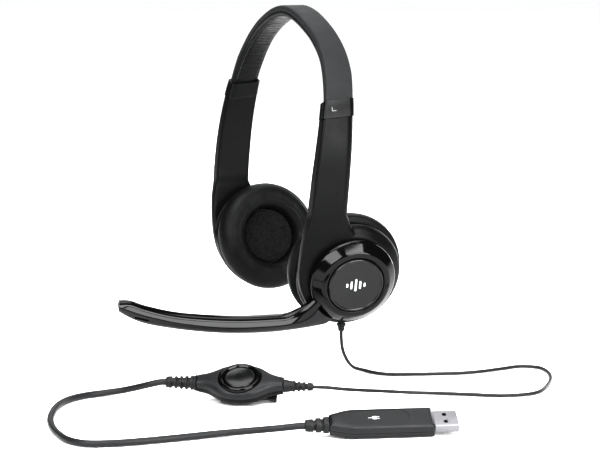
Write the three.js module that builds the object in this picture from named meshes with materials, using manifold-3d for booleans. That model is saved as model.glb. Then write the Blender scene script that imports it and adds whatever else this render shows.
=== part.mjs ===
// Office headset: headband with two sliding arms, two tilting ear cups, boom microphone,
// cord controller with clothing clip, and USB plug. Millimetres, +Z up, the wearer faces -Y,
// +X is the wearer's left. The origin is midway between the two ear cushions.
import * as THREE from "three";
import { mergeVertices } from "three/addons/utils/BufferGeometryUtils.js";
import Module from "manifold-3d";

// ---- driving dimensions ----
const GAP = 0.3;
const FLOOR = -64;

const CUP_OFFSET = 58.5; // cup centre from the middle plane
const CUP_TILT = THREE.MathUtils.degToRad(15.4); // outer side looks down
const CUP_TURN = THREE.MathUtils.degToRad(6.1); // outer side looks to the front
const CUSHION_RADIUS = 32.5;
const CUSHION_HOLE = 16.6;
const HOUSING_RADIUS = 26.8;
const BOWL_RADIUS = 30;
const BOWL_WALL = 1.6;
const PLATE_FACE = 14; // outer face of the round plate, along the cup's axis
const PIVOT_LEVEL = 16.5; // the gimbal's two axes cross here
const HUB_RADIUS = 13;
const HUB_BORE = 11;
const RING_RADIUS = 24.4;
const DISC_RADIUS = 15.8;

const BAND_COVER = 1.5;
const BAND_SPLIT = 3.3;
const BAND_THICKNESS = 6.7;
const CAP_LOW = 86.7;
const CAP_HIGH = 96.2;
const ARM_TOP = 86.2;
const ARM_THICKNESS = 8;
const WALL = 1.8;

const STRIP_WIDTH = 9;
const STRIP_THICKNESS = 0.9;
const STRIP_ABOVE = 24;
const STRIP_BELOW = 6;
const STRIP_FOOT = new THREE.Vector3(74.4, -10.9, 86.5);
const SLIDE = new THREE.Vector3(-0.38, 0.13, 0.916).normalize();

const CONTROLLER = { x: 86, y: -72.5, z: -54.1, yaw: 59.4, tilt: 26, length: 47, width: 26, height: 10.5 };
const PLUG = { x: 176, y: -31, z: -57.6, yaw: 74.5, tilt: 25, length: 53, width: 15.8, height: 8 };

const HEADSET_CORD = 1.9;
const USB_CORD = 3.5;

// Outer outline of headband, arm and plate, seen from the front: x, z.
const OUTLINE = [
  [-31, 136.7], [-16, 141.5], [0, 143.5], [16, 141.5], [31, 136.7], [45, 130.3], [58, 121.3],
  [68, 109.8], [74.5, 96.5], [78, 82.5], [79.9, 68], [80.3, 50], [79.6, 34], [76.8, 14],
  [71.9, -3.7], [63.5, -33],
];

// Along that outline by height: front edge, rear edge, twist towards the front, the twist's
// own y, and how much the rear edge stands higher than the front edge.
const EDGES = [
  [160, -13.5, 1.3, 0, -6, 0],
  [122, -13.5, 1.3, 0, -6, 0],
  [112.8, -15.2, 0.6, 0, -7, 0.04],
  [100.9, -17.4, -0.4, 0, -9, 0.07],
  [87, -20.2, -1.7, 0, -11, 0.07],
  [71.6, -23.1, -3.2, 0.03, -13, 0.07],
  [54.5, -25.7, -4.7, 0.05, -15, 0.05],
  [40, -27.3, -5.9, 0.065, -17, 0.03],
  [33, -28, -6.3, 0.075, -16, 0.02],
  [29.5, -28.8, -5, 0.085, -12, 0.01],
  [24.6, -29.9, -2.7, 0.095, -8, 0],
  [21, -30.5, 1.2, 0.1, -5, 0],
  [16.6, -31, 6.9, 0.107, -2, 0],
  [14, -31.2, 13, 0.107, -2, 0],
  [8.4, -31.4, 19.6, 0.107, -2, 0],
  [2.9, -31.5, 20.2, 0.107, -2, 0],
  [-3, -31, 20.2, 0.107, -2, 0],
  [-8.9, -29.6, 20.2, 0.107, -2, 0],
  [-13.8, -27.4, 19, 0.107, -2, 0],
  [-17.8, -25.5, 17, 0.107, -2, 0],
  [-40, -25.5, 17, 0.107, -2, 0],
];

// Boom stations in the ring's plane: top edge, crease and bottom edge as [forward, up], and
// the inner and outer level along the cup's axis.
const BOOM = [
  [[17, -2], [16, -9], [9, -22], 14.6, 20.5],
  [[20.5, -8.1], [19.6, -14], [13.5, -25.4], 14.6, 20.6],
  [[24.2, -12], [23, -18.6], [19.4, -26.4], 14.6, 20.7],
  [[28.8, -15.2], [27.5, -21.6], [26, -27.2], 14.5, 20.8],
  [[36.9, -18.7], [36.6, -23.2], [36.3, -27.9], 14, 21],
  [[45.3, -19.1], [45, -23.7], [45, -28.3], 13.6, 21],
  [[62, -19], [61.7, -23.7], [61.5, -28.2], 13.2, 20.6],
  [[78.5, -17.9], [78.3, -22.6], [78, -27.1], 12.6, 19.8],
  [[99.1, -15.2], [98.9, -19.2], [98.7, -24.3], 11.4, 18.2],
  [[115.5, -10.9], [116.1, -14.9], [116.5, -20.4], 10, 16.4],
  [[124, -7.8], [124.5, -12], [125, -16.6], 9.2, 15.2],
  [[129.3, -7.4], [130, -10], [129.5, -13.8], 9.2, 14],
];

// Headset cord from the left cup to the controller, by hand along its centre line.
const HEADSET_CORD_ROUTE = [
  [58.7, -1.5, -34.6], [58.7, -1.5, -40], [57.6, 0, -47.5], [53.2, 5.2, -55.5], [48, 11.6, -60.8],
  [47.6, 17.8, -62.9], [55, 20.5, -62.9], [62.5, 27, -62.9], [67, 39, -62.9], [71, 51, -62.9],
  [75, 65, -62.9], [76, 79, -62.9], [74.5, 93, -62.9], [73.5, 105, -62.9], [80, 113.5, -62.9],
  [96, 111.5, -62.9], [118, 98, -62.9], [132, 82, -62.9], [131, 64, -62.9], [121.5, 47.8, -62.9],
  [112.5, 32, -62.8], [108, 18, -62.1], [107.3, 2, -60], [109, -11, -57.9], [110.3, -22.5, -55.9],
  [109.3, -31.5, -54.4], [107.6, -36, -54.1], [105.15, -40.1, -54.1],
];

// USB cord from the controller to the plug.
const USB_CORD_ROUTE = [
  [66.2, -105.9, -54.1], [63.8, -110.1, -54.3], [61.2, -115.4, -55.6], [55, -121.5, -58.3], [49.2, -127.5, -60.6], [45.4, -137, -62],
  [46.6, -148, -62.1], [51.5, -158, -62.1], [61, -166.5, -62.1], [84, -177, -62.1],
  [101, -181, -62.1], [117, -182, -62.1], [130, -180.5, -62.1], [139, -175, -62.1],
  [143.5, -165, -62.1], [146, -150, -62.1], [147, -130, -62.1], [147.5, -111, -62],
  [152, -95, -61], [160.5, -81.5, -58.9], [164.8, -71.4, -57.7], [166.2, -66.5, -57.6],
];

const wasm = await Module();
wasm.setup();

// ---- helpers ----
const V = (x, y, z) => new THREE.Vector3(x, y, z);

function signedVolume(geometry) {
  const p = geometry.getAttribute("position");
  const index = geometry.index ? geometry.index.array : [...Array(p.count).keys()];
  const [a, b, c] = [V(0, 0, 0), V(0, 0, 0), V(0, 0, 0)];
  let volume = 0;
  for (let i = 0; i < index.length; i += 3) {
    a.fromBufferAttribute(p, index[i]);
    b.fromBufferAttribute(p, index[i + 1]);
    c.fromBufferAttribute(p, index[i + 2]);
    volume += a.dot(b.cross(c)) / 6;
  }
  return volume;
}

// The same surface with shared points, no empty triangles and its faces looking out.
function closed(geometry) {
  const bare = new THREE.BufferGeometry();
  bare.setAttribute("position", geometry.getAttribute("position"));
  if (geometry.index) bare.setIndex(geometry.index);
  const merged = mergeVertices(bare, 1e-4);
  const inside = signedVolume(merged) < 0;
  const old = merged.index.array;
  const kept = [];
  for (let i = 0; i < old.length; i += 3) {
    const [a, b, c] = [old[i], old[i + 1], old[i + 2]];
    if (a === b || b === c || a === c) continue;
    if (inside) kept.push(a, c, b);
    else kept.push(a, b, c);
  }
  merged.setIndex(kept);
  return merged;
}

function solid(geometry) {
  const g = closed(geometry);
  const vertProperties = new Float32Array(g.getAttribute("position").array);
  const triVerts = new Uint32Array(g.index.array);
  return new wasm.Manifold(new wasm.Mesh({ numProp: 3, vertProperties, triVerts }));
}

function shape(manifold) {
  const mesh = manifold.simplify(0.01).getMesh();
  const geometry = new THREE.BufferGeometry();
  geometry.setAttribute("position", new THREE.BufferAttribute(mesh.vertProperties, 3));
  geometry.setIndex(new THREE.BufferAttribute(mesh.triVerts, 1));
  return geometry;
}

function cut(base, ...tools) {
  return shape(tools.reduce((left, tool) => left.subtract(solid(tool)), solid(base)));
}

function join(...pieces) {
  return shape(pieces.slice(1).reduce((sum, piece) => sum.add(solid(piece)), solid(pieces[0])));
}

function common(a, b) {
  return shape(solid(a).intersect(solid(b)));
}

// A profile of [radius, level] points turned about the Z axis.
function turned(profile, segments = 20) {
  const points = profile.map(([radius, level]) => new THREE.Vector2(radius, level));
  if (profile.every(([radius]) => radius > 0)) points.push(points[0].clone());
  return closed(new THREE.LatheGeometry(points, segments).rotateX(Math.PI / 2));
}

function rod(radius, low, high, segments = 16) {
  return turned([[0, low], [radius, low], [radius, high], [0, high]], segments);
}

function rodAlong(axis, radius, low, high, segments = 12) {
  const piece = rod(radius, low, high, segments);
  return axis === "x" ? piece.rotateY(Math.PI / 2) : piece.rotateX(-Math.PI / 2);
}

function box(x, y, z) {
  const [width, depth, height] = [x[1] - x[0], y[1] - y[0], z[1] - z[0]];
  const piece = new THREE.BoxGeometry(width, depth, height);
  return piece.translate((x[0] + x[1]) / 2, (y[0] + y[1]) / 2, (z[0] + z[1]) / 2);
}

function extruded(outline, low, high, bevel = 0, bevelSegments = 2) {
  const piece = new THREE.ExtrudeGeometry(outline, {
    depth: high - low - 2 * bevel,
    bevelEnabled: bevel > 0,
    bevelThickness: bevel,
    bevelSize: bevel,
    bevelOffset: -bevel,
    bevelSegments,
    curveSegments: 4,
  });
  return piece.translate(0, 0, low + bevel);
}

function polygon(points) {
  return new THREE.Shape(points.map(([x, y]) => new THREE.Vector2(x, y)));
}

// A side view of [x, z] points, given its width along Y.
function sideways(points, width) {
  return extruded(polygon(points), 0, width).rotateX(Math.PI / 2).translate(0, width / 2, 0);
}

// One skin through rings of points, closed at both ends; flat[] is the ring's own flat shape.
function loft(rings, flat) {
  const count = rings[0].length;
  const positions = rings.flat().flatMap((point) => [point.x, point.y, point.z]);
  const index = [];
  for (let i = 0; i + 1 < rings.length; i += 1) {
    for (let j = 0; j < count; j += 1) {
      const [a, b] = [i * count + j, i * count + ((j + 1) % count)];
      index.push(a, b, a + count, b, b + count, a + count);
    }
  }
  const faces = THREE.ShapeUtils.triangulateShape(
    flat.map(([x, y]) => new THREE.Vector2(x, y)),
    [],
  );
  const ccw = THREE.ShapeUtils.area(flat.map(([x, y]) => new THREE.Vector2(x, y))) > 0;
  const last = (rings.length - 1) * count;
  for (const [a, b, c] of faces) {
    if (ccw) index.push(a, c, b, last + a, last + b, last + c);
    else index.push(a, b, c, last + a, last + c, last + b);
  }
  const geometry = new THREE.BufferGeometry();
  geometry.setAttribute("position", new THREE.Float32BufferAttribute(positions, 3));
  geometry.setIndex(index);
  return closed(geometry);
}

// ---- headband and arm stations along the outline ----
const SIDE = new THREE.CatmullRomCurve3(
  OUTLINE.map(([x, z]) => V(x, 0, z)),
  false,
  "centripetal",
);

function edgesAt(z) {
  const i = Math.max(1, EDGES.findIndex(([level]) => level <= z));
  const [high, low] = [EDGES[i - 1], EDGES[i]];
  const share = (high[0] - z) / (high[0] - low[0]);
  return high.map((value, k) => value + (low[k] - value) * share);
}

// The curve's parameter where its left side is at height z.
function parameterAt(z) {
  let [low, high] = [2 / (OUTLINE.length - 1), 1];
  for (let i = 0; i < 40; i += 1) {
    const middle = (low + high) / 2;
    if (SIDE.getPoint(middle).z > z) low = middle;
    else high = middle;
  }
  return low;
}

// A station's at(w, t): w runs from the front edge to the rear, t from the outer face inwards.
function station(u) {
  const point = SIDE.getPoint(u);
  const tangent = SIDE.getTangent(u);
  const [, front, rear, twist, twistY, lean] = edgesAt(point.z);
  const width = rear - front;
  const at = (w, t) => {
    const y = front + w;
    const x = point.x + tangent.z * t + twist * (y - twistY);
    return V(x, y, point.z - tangent.x * t + lean * (w - width / 2));
  };
  return { width, z: point.z, at };
}

function stationsDown(from, to, count) {
  const [first, last] = [parameterAt(from), parameterAt(to)];
  return Array.from({ length: count }, (_, i) => station(first + ((last - first) * i) / (count - 1)));
}

function along(stations, section) {
  const rings = stations.map((s) => section(s.width, s.z).map(([w, t]) => s.at(w, t)));
  return loft(rings, section(stations[0].width, stations[0].z));
}

// The same section over the whole headband, from the right end over the top to the left end.
function overTop(lowest, count, section) {
  const half = stationsDown(143.5, lowest, count);
  const ring = (s, side) =>
    section(s.width, s.z).map(([w, t]) => {
      const point = s.at(w, t);
      point.x *= side;
      return point;
    });
  const right = half.slice(1).reverse().map((s) => ring(s, -1));
  half[0].at = ((at) => (w, t) => at(w, t).setX(0))(half[0].at);
  const rings = [...right, ...half.map((s) => ring(s, 1))];
  return loft(rings, section(half[half.length - 1].width, half[half.length - 1].z));
}

const inset = (z) => 0.6 * THREE.MathUtils.clamp((110 - z) / 12, 0, 1);

function rectangle(w0, w1, t0, t1) {
  return [[w0, t0], [w1, t0], [w1, t1], [w0, t1]];
}

// The straight space a slider strip needs, as a box along the slide.
function stripBox(low, high, spare) {
  const piece = new THREE.BoxGeometry(
    STRIP_THICKNESS + 2 * spare,
    STRIP_WIDTH + 2 * spare,
    high - low,
  ).translate(0, 0, (low + high) / 2);
  const across = V(0, 1, 0).addScaledVector(SLIDE, -SLIDE.y).normalize();
  const basis = new THREE.Matrix4().makeBasis(across.clone().cross(SLIDE), across, SLIDE);
  return piece.applyMatrix4(basis.setPosition(STRIP_FOOT));
}

const mirrored = (geometry) => closed(geometry.clone().scale(-1, 1, 1));

// ---- materials ----
const matte = (color, roughness, metalness = 0) =>
  new THREE.MeshStandardMaterial({ color, roughness, metalness });
const SOFT_GREY = matte(0x5c5d5e, 0.75);
const LEATHER = matte(0x1d1e1f, 0.55);
const PLASTIC = matte(0x2a2c2e, 0.5);
const GLOSS = matte(0x101112, 0.15);
const SATIN = matte(0x3d3f42, 0.35);
const CLOTH = matte(0x17181a, 0.95);
const RUBBER = matte(0x1b1c1d, 0.7);
const STEEL = matte(0xb9bcc0, 0.3, 1);
const BOARD = matte(0x1f5a35, 0.5);
const FILM = matte(0x9a8f6a, 0.4);

function part(parent, name, geometry, material) {
  const mesh = new THREE.Mesh(closed(geometry), material.clone());
  mesh.name = name;
  parent.add(mesh);
  return mesh;
}

// ---- headband ----
const headset = new THREE.Group();
headset.name = "office_headset";

const coverSection = (width, z) => {
  const i = inset(z);
  const [a, b] = [i, width - i];
  return [
    [a, i + 1.3], [a + 0.5, i + 0.35], [a + 1.6, i], [b - 1.6, i], [b - 0.5, i + 0.35], [b, i + 1.3],
    [b, BAND_SPLIT], [b - 1.4, BAND_SPLIT], [b - 1.4, i + BAND_COVER], [a + 1.4, i + BAND_COVER],
    [a + 1.4, BAND_SPLIT], [a, BAND_SPLIT],
  ];
};
const cushionSection = (width, z) => {
  const i = inset(z);
  const [a, b, low] = [i + 0.1, width - i - 0.1, BAND_SPLIT + GAP];
  return [
    [a, low], [b, low], [b + 0.1, low + 1.1], [b - 0.6, BAND_THICKNESS - 0.9],
    [b - 2, BAND_THICKNESS - 0.2], [width / 2, BAND_THICKNESS], [a + 2, BAND_THICKNESS - 0.2],
    [a + 0.6, BAND_THICKNESS - 0.9], [a - 0.1, low + 1.1],
  ];
};
const pocket = stripBox(-20, STRIP_ABOVE + 1, 0.35);
const pockets = [pocket, mirrored(pocket)];
part(headset, "headband_cover", cut(overTop(89.9, 14, coverSection), ...pockets), SOFT_GREY);
part(headset, "headband_cushion", cut(overTop(89.9, 14, cushionSection), ...pockets), LEATHER);
part(
  headset,
  "headband_spring",
  overTop(115.5, 10, (width) => rectangle(width / 2 - 4, width / 2 + 4, 1.9, 2.5)),
  STEEL,
);
part(
  headset,
  "headband_wire",
  overTop(92, 12, (width, z) => {
    const [w, t] = [width - inset(z) - 2.1, BAND_COVER + 1.2];
    return [[w - 0.45, t], [w, t - 0.45], [w + 0.45, t], [w, t + 0.45]];
  }),
  RUBBER,
);

const bandSpace = along(stationsDown(CAP_HIGH + 2, 89.5, 3), (width) =>
  rectangle(0.3, width - 0.3, 0.3, BAND_THICKNESS + 0.3),
);
const capStations = stationsDown(CAP_HIGH, CAP_LOW, 4);
const capOuter = cut(
  along(capStations, (width) => [
    [-0.3, 1], [0.2, 0], [1.3, -0.4], [width - 2.9, -0.4], [width - 0.5, 1.1], [width + 0.3, 2.7],
    [width + 0.3, BAND_SPLIT], [-0.3, BAND_SPLIT],
  ]),
  bandSpace,
  pocket,
);
const capInner = cut(
  along(capStations, (width) => [
    [-0.3, BAND_SPLIT + GAP], [width + 0.3, BAND_SPLIT + GAP], [width + 0.3, 6.6],
    [width - 1, 7.9], [1, 7.9], [-0.3, 6.6],
  ]),
  bandSpace,
  pocket,
);
part(headset, "end_cap_outer_left", capOuter, GLOSS);
part(headset, "end_cap_inner_left", capInner, GLOSS);
part(headset, "end_cap_outer_right", mirrored(capOuter), GLOSS);
part(headset, "end_cap_inner_right", mirrored(capInner), GLOSS);

// ---- one cup's own frame: x to the back, y up, z outwards ----
const OUT = V(
  Math.cos(CUP_TILT) * Math.cos(CUP_TURN),
  -Math.cos(CUP_TILT) * Math.sin(CUP_TURN),
  -Math.sin(CUP_TILT),
);
const UP = V(0, 0, 1).addScaledVector(OUT, -OUT.z).normalize();
const CUP_FRAME = new THREE.Matrix4()
  .makeBasis(UP.clone().cross(OUT), UP, OUT)
  .setPosition(CUP_OFFSET, 0, 0);
const inCup = (geometry) => closed(geometry.clone().applyMatrix4(CUP_FRAME));

// ---- arm shell with its bowl, hub and hollow stretch ----
const bowlBore = BOWL_RADIUS - BOWL_WALL;
const bowl = turned([
  [BOWL_RADIUS, 7], [BOWL_RADIUS, 9.4], [28.8, 11.2], [24.8, PLATE_FACE], [HUB_RADIUS, PLATE_FACE],
  [HUB_RADIUS, 20.3], [HUB_BORE, 20.3], [HUB_BORE, 11.4], [HUB_RADIUS, 11.4], [HUB_RADIUS, 12],
  [25, 12], [bowlBore, 9.5], [bowlBore, 7],
]);
const bowlSpace = turned([[0, -8], [bowlBore, -8], [bowlBore, 9.5], [25, 12], [0, 12]]);
const abovePlate = turned([[0, PLATE_FACE], [37, PLATE_FACE], [37, 40], [0, 40]]);
const armLevels = [ARM_TOP, 79, 71, 63, 55, 47, 40, 34, 29.5, 25.5, 21.5, 17.5, 14, 8.4, 2.9, -3, -8.9, -13.8, -17.8];
const armStations = armLevels.map((z) => station(parameterAt(z)));
const armThickness = (z) => THREE.MathUtils.clamp(5 + ((z - 17) * 3) / 19, 5, ARM_THICKNESS);
const armLoft = along(armStations, (width, z) => {
  const deep = armThickness(z);
  return [
    [0, 1.4], [0.5, 0.4], [1.6, 0], [width - 3.4, 0], [width - 0.9, 1.5], [width, 3.2],
    [width, deep - 1.2], [width - 1.2, deep], [1.2, deep], [0, deep - 1.2],
  ];
});
const hollowStations = [79.5, 71, 63, 55, 47, 40.5].map((z) => station(parameterAt(z)));
const hollow = along(hollowStations, (width) => rectangle(WALL, width - WALL, WALL, 14));
const armCover = along(hollowStations, (width) =>
  rectangle(WALL + GAP, width - WALL - GAP, ARM_THICKNESS - 1.6, ARM_THICKNESS),
);
const coverTrim = [-1, 1].map((side) => {
  const z = side > 0 ? 79.5 - GAP : 40.5 + GAP;
  const s = station(parameterAt(z));
  const y = (s.at(0, 0).y + s.at(s.width, 0).y) / 2;
  return new THREE.BoxGeometry(60, 60, 10).translate(s.at(0, 0).x, y, z + side * 5 + side * 0.6);
});
const rodBetween = (a, b, radius) => {
  const turn = new THREE.Quaternion().setFromUnitVectors(V(0, 0, 1), b.clone().sub(a).normalize());
  return rod(radius, 0, a.distanceTo(b), 12).applyQuaternion(turn).translate(a.x, a.y, a.z);
};
const boss = (z, radius, t0, t1) => {
  const s = station(parameterAt(z));
  return rodBetween(s.at(s.width / 2, t0), s.at(s.width / 2, t1), radius);
};
const wireHole = rodBetween(V(0, 46, 10.2).applyMatrix4(CUP_FRAME), V(0, 26, 10.2).applyMatrix4(CUP_FRAME), 1.3)
  .translate(-1.5, -13, 0);
const pinHoles = [[10, 12.6], [-12.6, -10]].map(([low, high]) =>
  rodAlong("y", 1.3, low, high, 8).translate(0, 0, PIVOT_LEVEL),
);
const reliefPlace = (piece) =>
  piece.rotateX(-CUP_TILT).translate(-1.5, -BOWL_RADIUS - 0.2, 8.7);
const reliefHole = reliefPlace(rodAlong("y", 1.9, -1, 4));

function armShell(left) {
  let body = cut(armLoft, inCup(abovePlate), inCup(bowlSpace));
  body = join(body, inCup(cut(bowl, ...pinHoles)));
  body = cut(body, inCup(rod(HUB_BORE, 8, 20, 20)), hollow, stripBox(-STRIP_BELOW - GAP, 5, GAP));
  body = join(body, boss(60, 2.6, 1, ARM_THICKNESS - 1.6 - GAP));
  body = cut(body, boss(60, 1.1, 3, ARM_THICKNESS));
  body = cut(body, wireHole);
  return left ? cut(body, inCup(reliefHole)) : body;
}
const armCoverShape = cut(
  armCover,
  ...coverTrim,
  boss(60, 1.3, ARM_THICKNESS - 3, ARM_THICKNESS + 2),
  boss(60, 2.3, ARM_THICKNESS - 0.9, ARM_THICKNESS + 2),
);
const screw = join(boss(60, 0.8, 3.6, ARM_THICKNESS - 0.5), boss(60, 2, ARM_THICKNESS - 0.7, ARM_THICKNESS - 0.05));

// ---- ear cup pieces, in the cup's own frame ----
const cushion = turned([
  [CUSHION_HOLE + 0.2, 3.4], [CUSHION_HOLE, -2], [17.5, -6], [20, -8.4], [22.5, -9.2], [26.6, -9.2],
  [29.9, -7], [31.9, -4], [CUSHION_RADIUS, -0.5], [31.9, 2], [30.2, 3.5], [26, 3.9], [18, 3.9],
], 24);
const grilleHoles = Array.from({ length: 7 }, (_, i) => {
  const [reach, turn] = [i ? 8.5 : 0, (i * Math.PI) / 3];
  return rod(2, -2, 1, 6).translate(reach * Math.cos(turn), reach * Math.sin(turn), 0);
});
const baffle = cut(
  turned([
    [0, -1.1], [15.7, -1.1], [16.2, -0.6], [16.2, 4.2], [25, 4.2], [25, 5.6], [14.9, 5.6],
    [14.9, 0.1], [0, 0.1],
  ]),
  ...grilleHoles,
);
const housing = join(
  turned([
    [0, 8.4], [13.6, 8.2], [23.2, 6.8], [25.3, 5.9], [25.3, 4.6], [HOUSING_RADIUS, 4.6],
    [HOUSING_RADIUS, 6.4], [24, 8.3], [14, 9.8], [5, 10], [5, 18.3], [0, 18.3],
  ]),
  rodAlong("x", 0.85, -8.9, 8.9, 8).translate(0, 0, PIVOT_LEVEL),
);
const driver = turned([[0, 1.2], [14.4, 1.2], [14.4, 2.4], [10.5, 3.4], [10.5, 6.2], [0, 6.2]], 24);
const diaphragm = turned([[0, 0.45], [13.5, 0.45], [13.5, 0.85], [0, 0.85]], 24);
const scrim = rod(CUSHION_HOLE - 0.5, -2.2, -1.4, 24);
const gimbal = cut(
  join(
    turned([[6.3, 15.3], [9.8, 15.3], [9.8, 17.7], [6.3, 17.7]], 24),
    rodAlong("y", 1, 8.2, 12.3, 8).translate(0, 0, PIVOT_LEVEL),
    rodAlong("y", 1, -12.3, -8.2, 8).translate(0, 0, PIVOT_LEVEL),
  ),
  rodAlong("x", 1.15, -11, 11, 8).translate(0, 0, PIVOT_LEVEL),
);
const disc = turned([
  [0, 21], [9.4, 21], [9.4, 19], [10.7, 19], [10.7, 20.6], [DISC_RADIUS, 20.6], [DISC_RADIUS, 23.3],
  [14.8, 23.9], [13.2, 23.3], [0, 22.6],
]);
const ring = turned([
  [13.4, 14.6], [17.6, 14.6], [18.4, 19.3], [21.6, 19.3], [22.6, 14.6], [RING_RADIUS, 14.6],
  [24.3, 18], [23.5, 19.8], [21, 21.7], [18, 23.1], [16.3, 23.4], [16.3, 17.4], [13.4, 17.4],
], 24);

for (const [side, suffix] of [[1, "_left"], [-1, "_right"]]) {
  const group = new THREE.Group();
  group.scale.x = side;
  headset.add(group);
  part(group, "slider_strip" + suffix, stripBox(-STRIP_BELOW, STRIP_ABOVE, 0), STEEL);
  part(group, "arm_shell" + suffix, armShell(side > 0), PLASTIC);
  part(group, "arm_cover" + suffix, armCoverShape, PLASTIC);
  part(group, "arm_screw" + suffix, screw, STEEL);
  const cup = new THREE.Group();
  cup.applyMatrix4(CUP_FRAME);
  group.add(cup);
  part(cup, "gimbal_ring" + suffix, gimbal, PLASTIC);
  part(cup, "speaker_housing" + suffix, housing, PLASTIC);
  part(cup, "speaker_baffle" + suffix, baffle, PLASTIC);
  part(cup, "speaker_driver" + suffix, driver, STEEL);
  part(cup, "speaker_diaphragm" + suffix, diaphragm, FILM);
  part(cup, "ear_scrim" + suffix, scrim, CLOTH);
  part(cup, "ear_cushion" + suffix, cushion, LEATHER);
  part(cup, "hub_disc" + suffix, disc, SATIN);
  if (side < 0) part(cup, "trim_ring" + suffix, ring, GLOSS);
}

// ---- boom microphone, in the left cup's frame ----
const boomCup = new THREE.Group();
boomCup.applyMatrix4(CUP_FRAME);
headset.add(boomCup);
const mix = (a, b, share) => [a[0] + (b[0] - a[0]) * share, a[1] + (b[1] - a[1]) * share];
const beyond = (from, to, reach) => mix(from, to, 1 + reach / Math.hypot(to[0] - from[0], to[1] - from[1]));
const level = ([forward, up], s) => V(-forward, up, s);
const boomLoft = (list, section) => {
  const rings = list.map((s) => section(...s));
  return loft(rings, rings[0].map((_, i) => {
    const turn = (-2 * Math.PI * i) / rings[0].length;
    return [Math.cos(turn), Math.sin(turn)];
  }));
};
const boomBody = boomLoft(BOOM, (top, crease, bottom, low, high) => [
  level(top, low + 0.9), level(top, high - 2.4), level(mix(top, crease, 0.3), high - 0.9),
  level(crease, high), level(bottom, high - 2.6), level(bottom, low + 0.9),
  level(mix(bottom, top, 0.12), low), level(mix(top, bottom, 0.12), low),
]);
const boomSpace = boomLoft(BOOM.slice(3, 11), (top, crease, bottom, low, high) => [
  level(mix(top, bottom, 0.2), low + 1.5), level(mix(top, bottom, 0.2), high - 3),
  level(crease, high - 1.6), level(mix(bottom, top, 0.2), high - 3.4),
  level(mix(bottom, top, 0.2), low + 1.5),
]);
const boomUpperSide = boomLoft(BOOM, (top, crease, bottom) => {
  const [a, b] = [mix(crease, top, 0.15 / 4.5), beyond(bottom, top, 15)];
  return [level(a, 0), level(a, 30), level(b, 30), level(b, 0)];
});
const boomLowerSide = boomLoft(BOOM, (top, crease, bottom) => {
  const [a, b] = [mix(crease, bottom, 0.15 / 4.5), beyond(top, bottom, 15)];
  return [level(b, 0), level(b, 30), level(a, 30), level(a, 0)];
});
const boomHollow = cut(boomBody, boomSpace);
const boomUpper = join(common(boomHollow, boomUpperSide), ring);
const micSlot = new THREE.BoxGeometry(8, 1.3, 8).rotateZ(-0.24).translate(-117.5, -17, 16);
const boomLower = cut(
  common(boomHollow, boomLowerSide),
  rod(RING_RADIUS + GAP, 10, 30, 24),
  micSlot,
);
part(boomCup, "boom_ring_shell", boomUpper, GLOSS);
part(boomCup, "boom_lower_shell", boomLower, PLASTIC);
part(boomCup, "mic_capsule", rod(1.4, 12.5, 13.9, 10).translate(-116.6, -15, 0), STEEL);
const boomWire = new THREE.CatmullRomCurve3([
  level([33, -21.5], 17.2), level([45, -23.6], 17), level([62, -23.6], 16.6), level([78, -22.5], 15.9),
  level([98.5, -19.6], 14.4), level([113, -15.6], 13.1),
]);
const wireRound = polygon(
  Array.from({ length: 8 }, (_, i) => [0.5 * Math.cos((i * Math.PI) / 4), 0.5 * Math.sin((i * Math.PI) / 4)]),
);
part(
  boomCup,
  "mic_wire",
  new THREE.ExtrudeGeometry(wireRound, { steps: 14, extrudePath: boomWire, bevelEnabled: false }),
  RUBBER,
);

// ---- cords and their boots ----
function cordAlong(route, diameter, steps, sides) {
  const ringPoints = Array.from({ length: sides }, (_, i) => {
    const turn = (2 * Math.PI * i) / sides;
    return [(diameter / 2) * Math.cos(turn), (diameter / 2) * Math.sin(turn)];
  });
  const path = new THREE.CatmullRomCurve3(route.map((point) => V(...point)), false, "centripetal");
  return new THREE.ExtrudeGeometry(polygon(ringPoints), {
    steps,
    extrudePath: path,
    bevelEnabled: false,
  });
}

// A ribbed bend relief along +X from the origin, its stem behind the origin, its bore at the tip.
function boot(length, thick, thin, ribs, stem, bore) {
  const profile = [[0, -2.4], [stem, -2.4], [stem, 0.3]];
  const pitch = (length - 0.3) / ribs;
  for (let i = 0; i < ribs; i += 1) {
    const radius = thick + ((thin - thick) * i) / Math.max(1, ribs - 1);
    const start = 0.3 + i * pitch;
    profile.push([radius, start], [radius - 0.15, start + 0.6 * pitch]);
    if (i + 1 < ribs) profile.push([radius - 0.9, start + 0.62 * pitch], [radius - 0.9, start + pitch]);
    else profile.push([radius - 0.3, length]);
  }
  profile.push([bore, length], [bore, length - 2], [0, length - 2]);
  return turned(profile, 10).rotateY(Math.PI / 2);
}

const relief = reliefPlace(boot(4.6, 2.6, 1.9, 2, 1.6, 1.25).rotateZ(-Math.PI / 2));
part(boomCup, "cord_strain_relief", relief, RUBBER);
part(headset, "headset_cord", cordAlong(HEADSET_CORD_ROUTE, HEADSET_CORD, 64, 8), RUBBER);
part(headset, "usb_cord", cordAlong(USB_CORD_ROUTE, USB_CORD, 40, 8), RUBBER);

// ---- controller ----
function lying({ x, y, z, yaw, tilt }) {
  const group = new THREE.Group();
  group.position.set(x, y, z);
  group.rotation.order = "ZYX";
  group.rotation.set(THREE.MathUtils.degToRad(tilt), 0, THREE.MathUtils.degToRad(yaw));
  headset.add(group);
  return group;
}

const controller = lying(CONTROLLER);
const [halfLength, halfHeight] = [CONTROLLER.length / 2, CONTROLLER.height / 2];
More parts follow.
